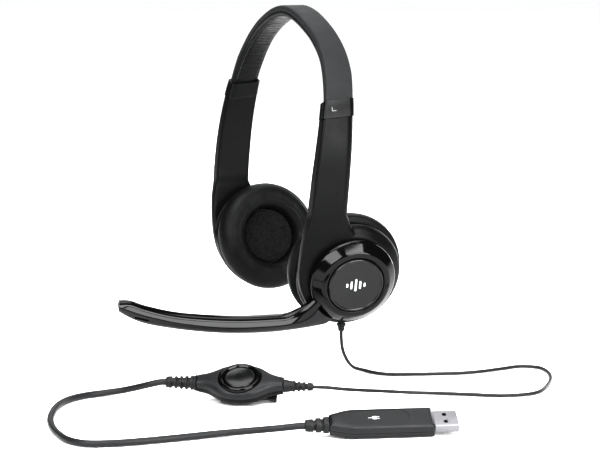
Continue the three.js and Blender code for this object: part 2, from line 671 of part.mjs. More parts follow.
// The body's half width and half height along its length: a round middle with a neck at each end.
const PEBBLE = [
  [-23.5, 4.3, 3.7], [-20, 4.9, 4.1], [-16.5, 6.3, 4.5], [-13, 8.8, 4.8], [-10, 10.9, 5], [-6.5, 12.3, 5.2],
  [-2.5, 13, 5.25], [2.5, 13, 5.25], [6.5, 12.3, 5.2], [10, 10.9, 5], [13, 8.8, 4.8], [16.5, 6.3, 4.5],
  [20, 4.9, 4.1], [23.5, 4.3, 3.6],
];
const pebble = (list, trim) => {
  const turns = Array.from({ length: 20 }, (_, i) => (i * Math.PI) / 10);
  const round = (c) => Math.sign(c) * Math.abs(c) ** 0.58;
  const ring = ([x, wide, high]) =>
    turns.map((a) => V(x, (wide - trim) * round(Math.cos(a)), (high - trim) * round(Math.sin(a))));
  return loft(list.map(ring), turns.map((a) => [Math.cos(a), Math.sin(a)]));
};
const body = pebble(PEBBLE, 0);
const bodySpace = pebble(
  PEBBLE.map(([x, wide, high]) => [THREE.MathUtils.clamp(x, -21.9, 21.9), wide, high]),
  1.5,
);
const boardOutline = polygon([
  ...PEBBLE.slice(2, 12).map(([x, wide]) => [x, 3 - wide]),
  ...PEBBLE.slice(2, 12).reverse().map(([x, wide]) => [x, wide - 3]),
]);
const stemHole = rodAlong("x", 2.4, -40, 40, 16);
const big = 60;
const topShell = cut(
  body,
  box([-big, big], [-big, big], [-big, 0.15]),
  bodySpace,
  rod(11.9, 0, 9, 24),
  stemHole,
);
const lugs = [-1, 1].map((side) =>
  cut(
    box([-10.6, -7.4], side > 0 ? [4.3, 5.5] : [-5.5, -4.3], [-8.2, -4.6]),
    rodAlong("y", 1.05, -7, 7).translate(-9, 0, -7.2),
  ),
);
const bottomShell = join(
  cut(body, box([-big, big], [-big, big], [-0.15, big]), bodySpace, stemHole),
  ...lugs,
);
part(controller, "controller_top_shell", topShell, PLASTIC);
part(controller, "controller_bottom_shell", bottomShell, PLASTIC);
part(controller, "controller_board", extruded(boardOutline, -1.6, -0.6), BOARD);
part(controller, "mute_switch", join(box([-3, 3], [-3, 3], [-0.3, 1.8]), rod(1.6, 1.5, 2.6, 12)), STEEL);
part(controller, "volume_ring", turned([
  [8.7, 1.2], [11.1, 1.2], [11.1, 3], [11.55, 3.5], [11.55, 5.3], [11, 5.9], [9.4, 5.9], [8.7, 5.2],
]), GLOSS);
part(controller, "mute_button", turned([
  [0, 3.3], [8.3, 3.3], [8.3, 5.1], [7.8, 5.5], [6.4, 5.2], [3.5, 4.8], [0, 4.7],
]), GLOSS);
part(controller, "clothing_clip", cut(
  sideways([
    [-17.4, -8.2], [-16.9, -6.7], [-11.2, -7], [-10.2, -5.8], [-7.8, -5.8], [-6.8, -7.3], [3, -7.5],
    [12.5, -5.75], [15, -5.7], [19.6, -7.2], [19.2, -8.6], [14, -7.2], [4, -8.95], [-9, -8.98],
    [-14, -8.9],
  ], 8),
  rodAlong("y", 1.05, -7, 7).translate(-9, 0, -7.2),
), PLASTIC);
part(controller, "clip_pin", rodAlong("y", 0.8, -5.4, 5.4).translate(-9, 0, -7.2), STEEL);
part(controller, "controller_boot_headset", boot(15.8, 3.1, 2.3, 4, 2.1, 1.25).translate(halfLength, 0, 0), RUBBER);
part(controller, "controller_boot_usb", boot(17, 3.9, 3.3, 5, 2.1, 2.05).rotateZ(Math.PI)
  .translate(-halfLength, 0, 0), RUBBER);

// ---- USB plug ----
const plug = lying(PLUG);
const [plugHalf, plugSide] = [PLUG.length / 2, PLUG.width / 2];
const plugPlan = (trim) => polygon([
  [-plugHalf + trim, -4.4 + trim], [-plugHalf + 9.7 + trim / 2, -plugSide + trim],
  [plugHalf - 1 - trim, -plugSide + trim], [plugHalf - trim, -plugSide + 1 + trim],
  [plugHalf - trim, plugSide - 1 - trim], [plugHalf - 1 - trim, plugSide - trim],
  [-plugHalf + 9.7 + trim / 2, plugSide - trim], [-plugHalf + trim, 4.4 - trim],
]);
const plugBody = extruded(plugPlan(0), -PLUG.height / 2, PLUG.height / 2, 1.3, 1);
const plugSpace = extruded(plugPlan(1.6), -2.6, 2.6);
const plugMouth = box([plugHalf - 4, plugHalf + 4], [-6.2, 6.2], [-2.45, 2.45]);
const plugStem = rodAlong("x", 2.3, -plugHalf - 4, -plugHalf + 4, 16);
part(plug, "plug_top_shell", cut(
  plugBody, box([-big, big], [-big, big], [-big, 0.15]), plugSpace, plugMouth, plugStem,
), PLASTIC);
part(plug, "plug_bottom_shell", cut(
  plugBody, box([-big, big], [-big, big], [-0.15, big]), plugSpace, plugMouth, plugStem,
), PLASTIC);
part(plug, "plug_board", box([-15, 18.5], [-5.8, 5.8], [-0.5, 0.5]), BOARD);
const squareHoles = [-1, 1].map((side) =>
  box([plugHalf + 4.9, plugHalf + 6.9], [side * 2.7 - 1, side * 2.7 + 1], [1, 4]),
);
part(plug, "usb_shell", cut(
  join(
    box([19, plugHalf + 0.4], [-5.85, 5.85], [-2.1, 2.1]),
    box([plugHalf + 0.3, plugHalf + 12.5], [-6, 6], [-2.25, 2.25]),
  ),
  box([18, plugHalf + 14], [-5.6, 5.6], [-1.85, 1.85]),
  ...squareHoles,
), STEEL);
part(plug, "usb_tongue", box([19.4, plugHalf + 11.8], [-5.3, 5.3], [-1.55, 0.1]), PLASTIC);
part(plug, "plug_boot", boot(12, 4.2, 3.1, 3, 2, 2.05).rotateZ(Math.PI).translate(-plugHalf, 0, 0), RUBBER);

export default headset;
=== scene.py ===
import math
import random

import bmesh
import bpy
import numpy as np
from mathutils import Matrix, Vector


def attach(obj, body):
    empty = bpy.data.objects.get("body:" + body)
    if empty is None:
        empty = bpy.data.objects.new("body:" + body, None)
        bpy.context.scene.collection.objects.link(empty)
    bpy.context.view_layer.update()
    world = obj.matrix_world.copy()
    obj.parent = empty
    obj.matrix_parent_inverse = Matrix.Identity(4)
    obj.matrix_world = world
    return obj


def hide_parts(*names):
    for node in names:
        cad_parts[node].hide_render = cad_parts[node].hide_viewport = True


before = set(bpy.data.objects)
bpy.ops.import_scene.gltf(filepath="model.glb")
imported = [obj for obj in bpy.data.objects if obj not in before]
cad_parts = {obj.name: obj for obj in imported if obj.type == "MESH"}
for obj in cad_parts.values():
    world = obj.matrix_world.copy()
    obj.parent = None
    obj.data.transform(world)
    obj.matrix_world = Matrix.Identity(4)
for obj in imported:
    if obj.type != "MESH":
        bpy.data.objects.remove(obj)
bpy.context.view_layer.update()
scene = bpy.context.scene
MM = 0.001
TINY = 1e-6
rad = math.radians

# ---- camera
cam = bpy.data.objects.new("camera", bpy.data.cameras.new("camera"))
scene.collection.objects.link(cam)
scene.camera = cam
cam.location = (1.0352, -0.4310, 0.1960)
aim = Vector((0, -0.0023, 0.0155)) - cam.location
cam.rotation_mode = "QUATERNION"
cam.rotation_quaternion = aim.to_track_quat("-Z", "Y")
cam.data.sensor_width = 36
cam.data.lens = 116.3
cam.data.clip_start, cam.data.clip_end = 0.01, 100

# ---- mesh helpers (millimetres)
def make(name, verts, faces):
    me = bpy.data.meshes.new(name)
    me.from_pydata((np.asarray(verts, float) * MM).tolist(), [], faces)
    bm = bmesh.new()
    bm.from_mesh(me)
    bmesh.ops.remove_doubles(bm, verts=bm.verts, dist=1e-7)
    bmesh.ops.recalc_face_normals(bm, faces=bm.faces)
    bm.to_mesh(me)
    bm.free()
    o = bpy.data.objects.new(name, me)
    scene.collection.objects.link(o)
    return o


def bake(o):
    """Applies every modifier."""
    made = bpy.data.meshes.new_from_object(o.evaluated_get(bpy.context.evaluated_depsgraph_get()))
    old = o.data
    o.modifiers.clear()
    o.data = made
    bpy.data.meshes.remove(old)


def boolean(a, b, op="DIFFERENCE"):
    """Cuts b, a piece or a mesh, out of a, or joins it on. A piece b is gone afterwards."""
    if isinstance(b, tuple):
        b = make("t", *b)
    m = a.modifiers.new("bool", "BOOLEAN")
    m.operation, m.object, m.solver = op, b, "EXACT"
    bake(a)
    bpy.data.objects.remove(b)


def shade(o, angle):
    """Smooth shading, with edges sharper than the angle kept sharp."""
    bm = bmesh.new()
    bm.from_mesh(o.data)
    for f in bm.faces:
        f.smooth = True
    for e in bm.edges:
        e.smooth = not (len(e.link_faces) == 2 and e.calc_face_angle(0) > rad(angle))
    bm.to_mesh(o.data)
    bm.free()


def mirror(o, name):
    """The piece's copy on the other side of the plane x = 0."""
    c = o.copy()
    c.data = o.data.copy()
    c.name = c.data.name = name
    scene.collection.objects.link(c)
    bm = bmesh.new()
    bm.from_mesh(c.data)
    for v in bm.verts:
        v.co.x = -v.co.x
    bmesh.ops.reverse_faces(bm, faces=bm.faces)
    bm.to_mesh(c.data)
    bm.free()
    return c


def finish(o, body, mat, nodes, angle):
    """Shading, material, body and the CAD nodes that the piece stands for."""
    shade(o, angle)
    o.data.materials.clear()
    o.data.materials.append(mat)
    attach(o, body)
    if nodes:
        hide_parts(*nodes)
    return o


HEADBANDS, FRAMES, CUPS = ("headband", "headband"), ("left_frame", "right_arm"), ("left_cup", "right_cup")


def finish_pair(left, right, bodies, mat, nodes, angle):
    for o, body, side in ((left, bodies[0], "_left"), (right, bodies[1], "_right")):
        finish(o, body, mat, [node + side for node in nodes], angle)


MOST_OF_SIDE = 0.48  # how much of a side a corner's rounding may take


def corner(a, p, b, r, n):
    """The corner p between a and b as an arc-like curve of n + 1 points."""
    la, lb = np.linalg.norm(a - p), np.linalg.norm(b - p)
    r = min(r, la * MOST_OF_SIDE, lb * MOST_OF_SIDE)
    s, e = p + (a - p) / la * r, p + (b - p) / lb * r
    return [(1 - t) ** 2 * s + 2 * t * (1 - t) * p + t * t * e for t in (k / n for k in range(n + 1))]


def rounded(points, radii, n=4):
    """The closed polygon with its corners rounded."""
    P = np.asarray(points, float)
    out = []
    for i, p in enumerate(P):
        r = radii[i] if hasattr(radii, "__len__") else radii
        out += corner(P[i - 1], p, P[(i + 1) % len(P)], r, n) if r > TINY else [p]
    return np.array(out)


def loft(rings):
    """Vertices and faces of one closed skin through rings of the same length."""
    rings = np.asarray(rings, float)
    m, n = rings.shape[:2]
    faces = [
        (i * n + j, i * n + (j + 1) % n, (i + 1) * n + (j + 1) % n, (i + 1) * n + j)
        for i in range(m - 1)
        for j in range(n)
    ]
    faces += [tuple(range(n))[::-1], tuple((m - 1) * n + j for j in range(n))]
    return rings.reshape(-1, 3), faces


def lathe(profile, segments=96):
    """A closed solid turned about Z from (radius, level) points that run along the outline."""
    P = np.asarray(profile, float)
    turn = np.linspace(0, 2 * np.pi, segments, endpoint=False)
    verts, index = [], []
    for r, z in P:
        if r < TINY:
            index.append([len(verts)] * segments)
            verts.append((0, 0, z))
        else:
            index.append(list(range(len(verts), len(verts) + segments)))
            verts += [(r * math.cos(a), r * math.sin(a), z) for a in turn]
    hollow = P[:, 0].min() > TINY
    faces = []
    for i in range(len(P) if hollow else len(P) - 1):
        a, b = index[i], index[(i + 1) % len(P)]
        for j in range(segments):
            k = (j + 1) % segments
            f = [a[j], a[k], b[k], b[j]]
            f = [v for q, v in enumerate(f) if v not in f[:q]]
            if len(f) > 2:
                faces.append(tuple(f))
    return np.array(verts), faces


def fillet(profile, radii, n=4):
    """Rounds the inner corners of an open (radius, level) outline, its ends kept."""
    P = [np.array(p, float) for p in profile]
    out = [P[0]]
    for i in range(1, len(P) - 1):
        out += corner(P[i - 1], P[i], P[i + 1], radii[i] if hasattr(radii, "__len__") else radii, n)
    out.append(P[-1])
    return out


def flat(outline, level, axis=2):
    """The outline's 2-D points made 3-D: the level goes in as the given axis."""
    return np.insert(outline, axis, level, axis=1)


def cuboid(x, y, z):
    v = [(a, b, c) for a in x for b in y for c in z]
    f = [(0, 1, 3, 2), (4, 6, 7, 5), (0, 4, 5, 1), (2, 3, 7, 6), (0, 2, 6, 4), (1, 5, 7, 3)]
    return np.array(v, float), f


def joined(parts):
    """Several meshes' vertices and faces as one."""
    verts, faces, base = [], [], 0
    for v, f in parts:
        verts.append(np.asarray(v, float))
        faces += [tuple(i + base for i in q) for q in f]
        base += len(v)
    return np.vstack(verts), faces


def place(verts, m):
    """The vertices moved by the 4 x 4 matrix."""
    v = np.asarray(verts, float)
    return v @ m[:3, :3].T + m[:3, 3]


def moved(mesh, m):
    return place(mesh[0], m), mesh[1]


def set_points(o, verts):
    """Moves the piece's vertices to these places, in mm."""
    o.data.vertices.foreach_set("co", (verts * MM).ravel())
    o.data.update()


def placed(o, m):
    """The piece with its vertices moved by the matrix."""
    set_points(o, place(np.array([v.co for v in o.data.vertices]) / MM, m))
    return o


def turn(a, i, j):
    """The turn by the angle a that takes axis i towards axis j."""
    m = np.eye(4)
    m[i, i] = m[j, j] = math.cos(a)
    m[j, i], m[i, j] = math.sin(a), -math.sin(a)
    return m


def turn_x(a):
    return turn(a, 1, 2)


def turn_y(a):
    return turn(a, 2, 0)


def turn_z(a):
    return turn(a, 0, 1)


def shift(x, y, z):
    m = np.eye(4)
    m[:3, 3] = (x, y, z)
    return m

# ---- the frame's own curves
def segments_of(points):
    """Centripetal Catmull-Rom segments: (start, end, start tangent, end tangent)."""
    P = [np.array(p, float) for p in points]
    P = [2 * P[0] - P[1]] + P + [2 * P[-1] - P[-2]]
    out = []
    for i in range(1, len(P) - 2):
        p0, p1, p2, p3 = P[i - 1 : i + 3]
        d0, d1, d2 = (math.sqrt(np.linalg.norm(b - a)) for a, b in ((p0, p1), (p1, p2), (p2, p3)))
        t1 = ((p1 - p0) / d0 - (p2 - p0) / (d0 + d1) + (p2 - p1) / d1) * d1
        t2 = ((p2 - p1) / d1 - (p3 - p1) / (d1 + d2) + (p3 - p2) / d2) * d1
        out.append((p1, p2, t1, t2))
    return out


def on_curve(segs, u):
    """The point and the unit direction at u, which goes from 0 to 1 along the whole curve."""
    p = min(max(u, 0), 1) * len(segs)
    i = min(int(p), len(segs) - 1)
    w = p - i
    a, b, s, e = segs[i]
    point = (2 * w**3 - 3 * w**2 + 1) * a + (w**3 - 2 * w**2 + w) * s
    point = point + (-2 * w**3 + 3 * w**2) * b + (w**3 - w**2) * e
    way = (6 * w**2 - 6 * w) * a + (3 * w**2 - 4 * w + 1) * s
    way = way + (6 * w - 6 * w**2) * b + (3 * w**2 - 2 * w) * e
    return point, way / np.linalg.norm(way)


def smooth_table(x, y, q):
    """Monotone cubic interpolation of y(x) at q, x ascending."""
    x, y = np.asarray(x, float), np.asarray(y, float)
    h, d = np.diff(x), np.diff(y) / np.diff(x)
    m = np.zeros(len(x))
    m[0], m[-1] = d[0], d[-1]
    for i in range(1, len(x) - 1):
        if d[i - 1] * d[i] > 0:
            w1, w2 = 2 * h[i] + h[i - 1], h[i] + 2 * h[i - 1]
            m[i] = (w1 + w2) / (w1 / d[i - 1] + w2 / d[i])
    i = int(np.clip(np.searchsorted(x, q) - 1, 0, len(x) - 2))
    t = (q - x[i]) / h[i]
    a = (2 * t**3 - 3 * t**2 + 1) * y[i] + (t**3 - 2 * t**2 + t) * h[i] * m[i]
    return a + (-2 * t**3 + 3 * t**2) * y[i + 1] + (t**3 - t**2) * h[i] * m[i + 1]


# the arms' and the headband's outer line from the front (x, z), and the left half's edges by height:
# (z, front y, rear y, twist, twist's y, lean)
OUTLINE = [
    (-31, 136.7), (-16, 141.5), (0, 143.5), (16, 141.5), (31, 136.7), (45, 130.3), (58, 121.3),
    (68, 109.8), (74.5, 96.5), (78, 82.5), (79.9, 68), (80.3, 50), (79.6, 34), (76.8, 14),
    (71.9, -3.7), (63.5, -33),
]
EDGES = np.array([
    (160, -13.5, 1.3, 0, -6, 0), (133, -13.5, 1.3, 0, -6, 0),
    (122, -13.95, 1.15, 0, -6.3, 0.012), (112.8, -15.2, 0.6, 0, -7, 0.04),
    (100.9, -17.4, -0.4, 0, -9, 0.07), (87, -20.2, -1.7, 0, -11, 0.07),
    (71.6, -23.1, -3.2, 0.03, -13, 0.07), (54.5, -25.7, -4.7, 0.05, -15, 0.05),
    (40, -27.3, -5.9, 0.065, -17, 0.03), (33, -28, -6.3, 0.075, -16, 0.02),
    (29.5, -28.8, -5, 0.085, -12, 0.01), (24.6, -29.9, -2.7, 0.095, -8, 0),
    (21, -30.5, 1.2, 0.1, -5, 0), (16.6, -31, 6.9, 0.107, -2, 0), (14, -31.2, 13, 0.107, -2, 0),
    (8.4, -31.4, 19.6, 0.107, -2, 0), (2.9, -31.5, 20.2, 0.107, -2, 0),
    (-3, -31, 20.2, 0.107, -2, 0), (-8.9, -29.6, 20.2, 0.107, -2, 0),
    (-13.8, -27.4, 19, 0.107, -2, 0), (-17.8, -25.5, 17, 0.107, -2, 0),
    (-40, -25.5, 17, 0.107, -2, 0),
])[::-1]
SIDE = segments_of([(x, 0, z) for x, z in OUTLINE])
BAND_TOP = 143.5  # mm above the ear cushions' middle


class Station:
    """A cross-section's frame on the outer line: w mm from the front edge, t mm inwards."""

    def __init__(self, u):
        self.p, self.t = on_curve(SIDE, u)
        self.z = self.p[2]
        row = [smooth_table(EDGES[:, 0], EDGES[:, k], self.z) for k in range(1, 6)]
        self.front, self.rear, self.twist, self.twist_y, self.lean = row
        self.width = self.rear - self.front

    def at(self, wt):
        w, t = np.asarray(wt, float).T
        y = self.front + w
        x = self.p[0] + self.t[2] * t + self.twist * (y - self.twist_y)
        return np.stack([x, y, self.p[2] - self.t[0] * t + self.lean * (w - self.width / 2)], 1)


def parameter_at(z):
    """Where on the left half of the outer line the height is z."""
    low, high = 2 / (len(OUTLINE) - 1), 1.0
    for _ in range(40):
        middle = (low + high) / 2
        if on_curve(SIDE, middle)[0][2] > z:
            low = middle
        else:
            high = middle
    return low


def stations_down(a, b, count):
    return [Station(u) for u in np.linspace(parameter_at(a), parameter_at(b), count)]


def ways_along(half):
    return np.cumsum([0] + [np.linalg.norm(b.p - a.p) for a, b in zip(half, half[1:])])


def over_top(lowest, count, section):
    """section(station, way) for the whole band; way is the distance along it from the top."""
    half = stations_down(BAND_TOP, lowest, count)
    way = ways_along(half)
    left = [s.at(section(s, d)) for s, d in zip(half, way)]
    left[0][:, 0] = 0
    right = []
    for s, d in zip(half[1:][::-1], way[1:][::-1]):
        ring = s.at(section(s, -d))
        ring[:, 0] *= -1
        right.append(ring)
    return right + left


def inset(z):
    """How far the band draws in where the end caps hold it."""
    return 0.6 * min(max((110 - z) / 12, 0), 1)


TILT, TURN = rad(15.4), rad(6.1)  # of the left cup's axis: down, and towards the front
OUT = np.array([
    math.cos(TILT) * math.cos(TURN), -math.cos(TILT) * math.sin(TURN), -math.sin(TILT),
])
UP = np.array([0, 0, 1]) - OUT * OUT[2]
UP /= np.linalg.norm(UP)
CUP = np.eye(4)
CUP[:3, 0], CUP[:3, 1], CUP[:3, 2], CUP[:3, 3] = np.cross(UP, OUT), UP, OUT, (58.5, 0, 0)


def lying(x, y, z, yaw, tilt):
    """The frame of a piece that lies beside the headset, its length along its own X."""
    return shift(x, y, z) @ turn_z(rad(yaw)) @ turn_x(rad(tilt))


CONTROLLER = lying(86, -72.5, -54.1, 59.4, 26)
PLUG = lying(176, -31, -57.6, 74.5, 25)

# ---- materials
def material(name, color, rough, metal=0.0, spec=0.5, sheen=0.0,
             vary=(60, 0.12), rough_vary=0.06, grain=(), edge=0.0, cells=None):
    """Procedural finish.

    vary is the colour drift (scale per m, share), rough_vary the roughness drift, grain the bump
    layers (scale per m, depth in mm; noise, unless "hide" or "dots" stands first), edge the share
    of a painted highlight that lightens sharp edges, and cells light speckles (scale per m, how many
    times lighter).
    """
    m = bpy.data.materials.new(name)
    m.use_nodes = True
    m.diffuse_color = (*color, 1)
    n, link = m.node_tree.nodes, m.node_tree.links
    where = n.new("ShaderNodeTexCoord").outputs["Object"]

    def settings(node, values):
        for key, value in values.items():
            node.inputs[key].default_value = value
        return node

    def texture(kind, values):
        t = settings(n.new("ShaderNodeTex" + kind), values)
        link.new(where, t.inputs["Vector"])
        return t

    def noise(scale, detail=3.0):
        return texture("Noise", {"Scale": scale, "Detail": detail, "Roughness": 0.55}).outputs["Fac"]

    def ramp(src, low, high, a=0.3, b=0.7):
        x = settings(n.new("ShaderNodeMapRange"),
                     {"From Min": a, "From Max": b, "To Min": low, "To Max": high})
        link.new(src, x.inputs["Value"])
        return x.outputs["Result"]

    def mix(fac, a, b):
        x = n.new("ShaderNodeMix")
        x.data_type = "RGBA"
        link.new(fac, x.inputs["Factor"])
        for s, value in zip([s for s in x.inputs if s.type == "RGBA"], (a, b)):
            if hasattr(value, "links"):
                link.new(value, s)
            else:
                s.default_value = (*value, 1)
        return [o for o in x.outputs if o.type == "RGBA"][0]

    p = settings(n["Principled BSDF"], {
        "Metallic": metal, "Specular IOR Level": spec, "Sheen Weight": sheen, "Sheen Roughness": 0.5,
    })
    dark = tuple(c * (1 - vary[1]) for c in color)
    light = tuple(min(1, c * (1 + vary[1])) for c in color)
    shown = mix(ramp(noise(vary[0]), 0, 1), dark, light)
    if cells:
        v = texture("Voronoi", {"Scale": cells[0]})
        shown = mix(ramp(v.outputs["Distance"], 1, 0, 0.1, 0.6), shown,
                    tuple(c * cells[1] for c in color))
    # painted highlight: where pointiness marks a sharp edge, the colour is lightened towards 2.2 times
    # itself, standing in for light caught by rounded edges
    if edge:
        g = n.new("ShaderNodeNewGeometry")
        shown = mix(ramp(g.outputs["Pointiness"], 0, edge, 0.52, 0.62), shown,
                    tuple(min(1, c * 2.2 + 0.01) for c in color))
    link.new(shown, p.inputs["Base Color"])
    link.new(ramp(noise(vary[0] * 3.1, 4), rough - rough_vary, rough + rough_vary),
             p.inputs["Roughness"])
    last = None
    for *kind, scale, depth in grain:
        if kind:
            hide = kind[0] == "hide"
            v = texture("Voronoi", {"Scale": scale, "Randomness": 1.0})
            v.feature = "DISTANCE_TO_EDGE" if hide else "F1"
            height = ramp(v.outputs["Distance"], 0, 1, 0.0, 0.28 if hide else 0.8)
        else:
            height = noise(scale, 2)
        b = settings(n.new("ShaderNodeBump"), {"Strength": 1.0, "Distance": depth * MM})
        link.new(height, b.inputs["Height"])
        if last:
            link.new(last, b.inputs["Normal"])
        last = b.outputs["Normal"]
    if last:
        link.new(last, p.inputs["Normal"])
    return m


def dark_grey(v, cool=1.05):
    """A grey a little cooler than neutral."""
    return (v * 0.97, v, v * cool)


SOFT = material("soft_touch_grey", dark_grey(0.022, 1.03), 0.56, spec=0.07, vary=(45, 0.06),
                grain=[(2600, 0.02), (260, 0.03)])
LEATHER = material("leatherette_black", dark_grey(0.005), 0.38, spec=0.1, vary=(90, 0.18),
                   rough_vary=0.09, grain=[("hide", 950, 0.05), (320, 0.12)])
BAND_LEATHER = material("leatherette_band", dark_grey(0.005), 0.38, spec=0.12, vary=(90, 0.18),
                        rough_vary=0.09, grain=[("hide", 900, 0.05), (300, 0.14)])
# edge= in PLASTIC, SATIN_BLACK and BOOT paints a highlight onto their sharp edges
PLASTIC = material("matte_black_plastic", dark_grey(0.011), 0.36, spec=0.2, vary=(35, 0.1), edge=0.35,
                   grain=[(3200, 0.012), (700, 0.01)])
SATIN_BLACK = material("satin_black_plastic", dark_grey(0.004), 0.33, spec=0.1, vary=(40, 0.08),
                       edge=0.3, grain=[(2800, 0.01)])
CAP = material("cap_satin_black", dark_grey(0.004), 0.24, spec=0.12, vary=(70, 0.1),
               grain=[(2500, 0.0015)])
GLOSS = material("piano_black", dark_grey(0.002), 0.09, spec=0.22, vary=(30, 0.2),
                 rough_vary=0.03, grain=[(900, 0.001)])
DISC = material("disc_satin_grey", dark_grey(0.006), 0.18, spec=0.3, vary=(80, 0.06),
                grain=[(1500, 0.0006)])
MARK = material("printed_mark", (0.42, 0.43, 0.44), 0.5, vary=(900, 0.08))
LABEL = material("printed_side_mark", (0.17, 0.175, 0.18), 0.5, vary=(900, 0.08))
SCRIM = material("scrim_cloth", dark_grey(0.0032), 0.95, spec=0.1, sheen=0.05, vary=(500, 0.3),
                 cells=(1150, 4.5), grain=[("dots", 1150, 0.25), (600, 0.2)])
RUBBER = material("cord_rubber", dark_grey(0.013), 0.42, spec=0.2, vary=(120, 0.15),
                  grain=[(1800, 0.02)])
BOOT = material("boot_rubber", dark_grey(0.009), 0.45, spec=0.2, vary=(120, 0.15), edge=0.3,
                grain=[(2200, 0.02)])
STEEL = material("nickel_plate", (0.2, 0.2, 0.208), 0.36, metal=1.0, vary=(300, 0.05),
                 grain=[(1400, 0.006)])
STRIP = material("spring_steel", (0.07, 0.07, 0.073), 0.42, metal=1.0, vary=(200, 0.06),
                 grain=[(1400, 0.004)])
GOLD = material("gold_contacts", (0.8, 0.58, 0.25), 0.25, metal=1.0, vary=(600, 0.08))
BLACK_SCREW = material("black_screw", dark_grey(0.012), 0.35, metal=0.6, vary=(500, 0.2),
                       grain=[(1800, 0.01)])
BOARD = material("board_green", (0.03, 0.12, 0.06), 0.4, vary=(500, 0.25),
                 grain=[(1500, 0.03)])
FILM = material("film_amber", (0.4, 0.33, 0.18), 0.3, vary=(300, 0.1), grain=[(900, 0.03)])
TONGUE = material("tongue_black", dark_grey(0.03), 0.45, vary=(300, 0.15))
THREAD = material("stitch_thread", dark_grey(0.05), 0.7, spec=0.3, sheen=0.2, vary=(900, 0.25),
                  grain=[(4000, 0.05)])

# ---- carried-over CAD nodes
NODE_MATERIALS = (  # the first start of a node's name that fits
    ("arm_screw", BLACK_SCREW), ("slider_strip", STRIP), ("headband_spring", STEEL), ("clip_pin", STEEL),
    ("usb_shell", STEEL), ("mic_capsule", STEEL), ("controller_board", BOARD), ("plug_board", BOARD),
    ("speaker_diaphragm", FILM), ("speaker_driver", STEEL), ("mute_switch", STEEL),
    ("headband_wire", RUBBER), ("mic_wire", RUBBER), ("headset_cord", RUBBER), ("usb_cord", RUBBER),
    ("cord_strain_relief", RUBBER), ("usb_tongue", TONGUE), ("ear_scrim", SCRIM), ("", PLASTIC),
)
for name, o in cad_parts.items():
    o.data.materials.clear()
    o.data.materials.append(next(m for start, m in NODE_MATERIALS if name.startswith(start)))
    for f in o.data.polygons:
        f.use_smooth = True
    o.data.set_sharp_from_angle(angle=rad(33))

# ---- cords
HEADSET_CORD_THICK, USB_CORD_THICK = 1.9, 3.5
HEADSET_CORD_ROUTE = [
    (58.7, -1.5, -34.6), (58.7, -1.5, -40), (57.6, 0, -47.5), (53.2, 5.2, -55.5), (48, 11.6, -60.8),
    (47.6, 17.8, -62.9), (55, 20.5, -62.9), (62.5, 27, -62.9), (67, 39, -62.9), (71, 51, -62.9),
    (75, 65, -62.9), (76, 79, -62.9), (74.5, 93, -62.9), (73.5, 105, -62.9), (80, 113.5, -62.9),
    (96, 111.5, -62.9), (118, 98, -62.9), (132, 82, -62.9), (131, 64, -62.9), (121.5, 47.8, -62.9),
    (112.5, 32, -62.8), (108, 18, -62.1), (107.3, 2, -60), (109, -11, -57.9), (110.3, -22.5, -55.9),
    (109.3, -31.5, -54.4), (107.6, -36, -54.1), (105.15, -40.1, -54.1),
]
USB_CORD_ROUTE = [
    (66.2, -105.9, -54.1), (63.8, -110.1, -54.3), (61.2, -115.4, -55.6), (55, -121.5, -58.3),
    (49.2, -127.5, -60.6), (45.4, -137, -62), (46.6, -148, -62.1), (51.5, -158, -62.1),
    (61, -166.5, -62.1), (84, -177, -62.1), (101, -181, -62.1), (117, -182, -62.1),
    (130, -180.5, -62.1), (139, -175, -62.1), (143.5, -165, -62.1), (146, -150, -62.1),
    (147, -130, -62.1), (147.5, -111, -62), (152, -95, -61), (160.5, -81.5, -58.9),
    (164.8, -71.4, -57.7), (166.2, -66.5, -57.6),
]


def cord_curve(name, route, diameter, node):
    """A Bezier tube whose handles make it the same curve as segments_of(route)."""
    segs = segments_of(route)
    data = bpy.data.curves.new(name, "CURVE")
    data.dimensions = "3D"
    data.bevel_depth = diameter / 2 * MM
    data.bevel_resolution = 5
    data.resolution_u = 10
    data.use_fill_caps = True
    s = data.splines.new("BEZIER")
    s.bezier_points.add(len(route) - 1)
    for i, b in enumerate(s.bezier_points):
        b.handle_left_type = b.handle_right_type = "FREE"
        b.co = Vector(route[i]) * MM
        b.handle_left = b.handle_right = b.co
        if i < len(segs):
            b.handle_right = Vector(segs[i][0] + segs[i][2] / 3) * MM
        if i > 0:
            b.handle_left = Vector(segs[i - 1][1] - segs[i - 1][3] / 3) * MM
    first, last = s.bezier_points[0], s.bezier_points[-1]
    first.handle_left = first.co * 2 - first.handle_right
    last.handle_right = last.co * 2 - last.handle_left
    o = bpy.data.objects.new(name, data)
    scene.collection.objects.link(o)
    o.data.materials.append(RUBBER)
    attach(o, "left_frame")
    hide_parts(node)
    return o


cord_a = cord_curve("headset_cord_line", HEADSET_CORD_ROUTE, HEADSET_CORD_THICK, "headset_cord")
cord_b = cord_curve("usb_cord_line", USB_CORD_ROUTE, USB_CORD_THICK, "usb_cord")

# ---- headband
BAND_END = 90.2  # where the cover and the pad end, inside the caps
COVER_LIP, COVER_WALL = 3.3, 1.4


def cover_section(s, way):
    """A shallow channel, open on the inside, with a slight crown on the outside."""
    i = inset(s.z)
    a, b = i, s.width - i
    pts = [
        (a, COVER_LIP), (a, i), (b, i), (b, COVER_LIP), (b - COVER_WALL, COVER_LIP),
        (b - COVER_WALL, i + 1.5), (a + COVER_WALL, i + 1.5), (a + COVER_WALL, COVER_LIP),
    ]
    q = rounded(pts, [0.25, 1.5, 1.5, 0.25, 0.2, 0.3, 0.3, 0.2], 5)
    half = s.width / 2
    crown = 0.3 * np.clip(1 - ((q[:, 0] - half) / half) ** 2, 0, 1)
    q[:, 1] -= np.where(q[:, 1] < i + 1.4, crown, 0) * (i < 0.3)
    return q


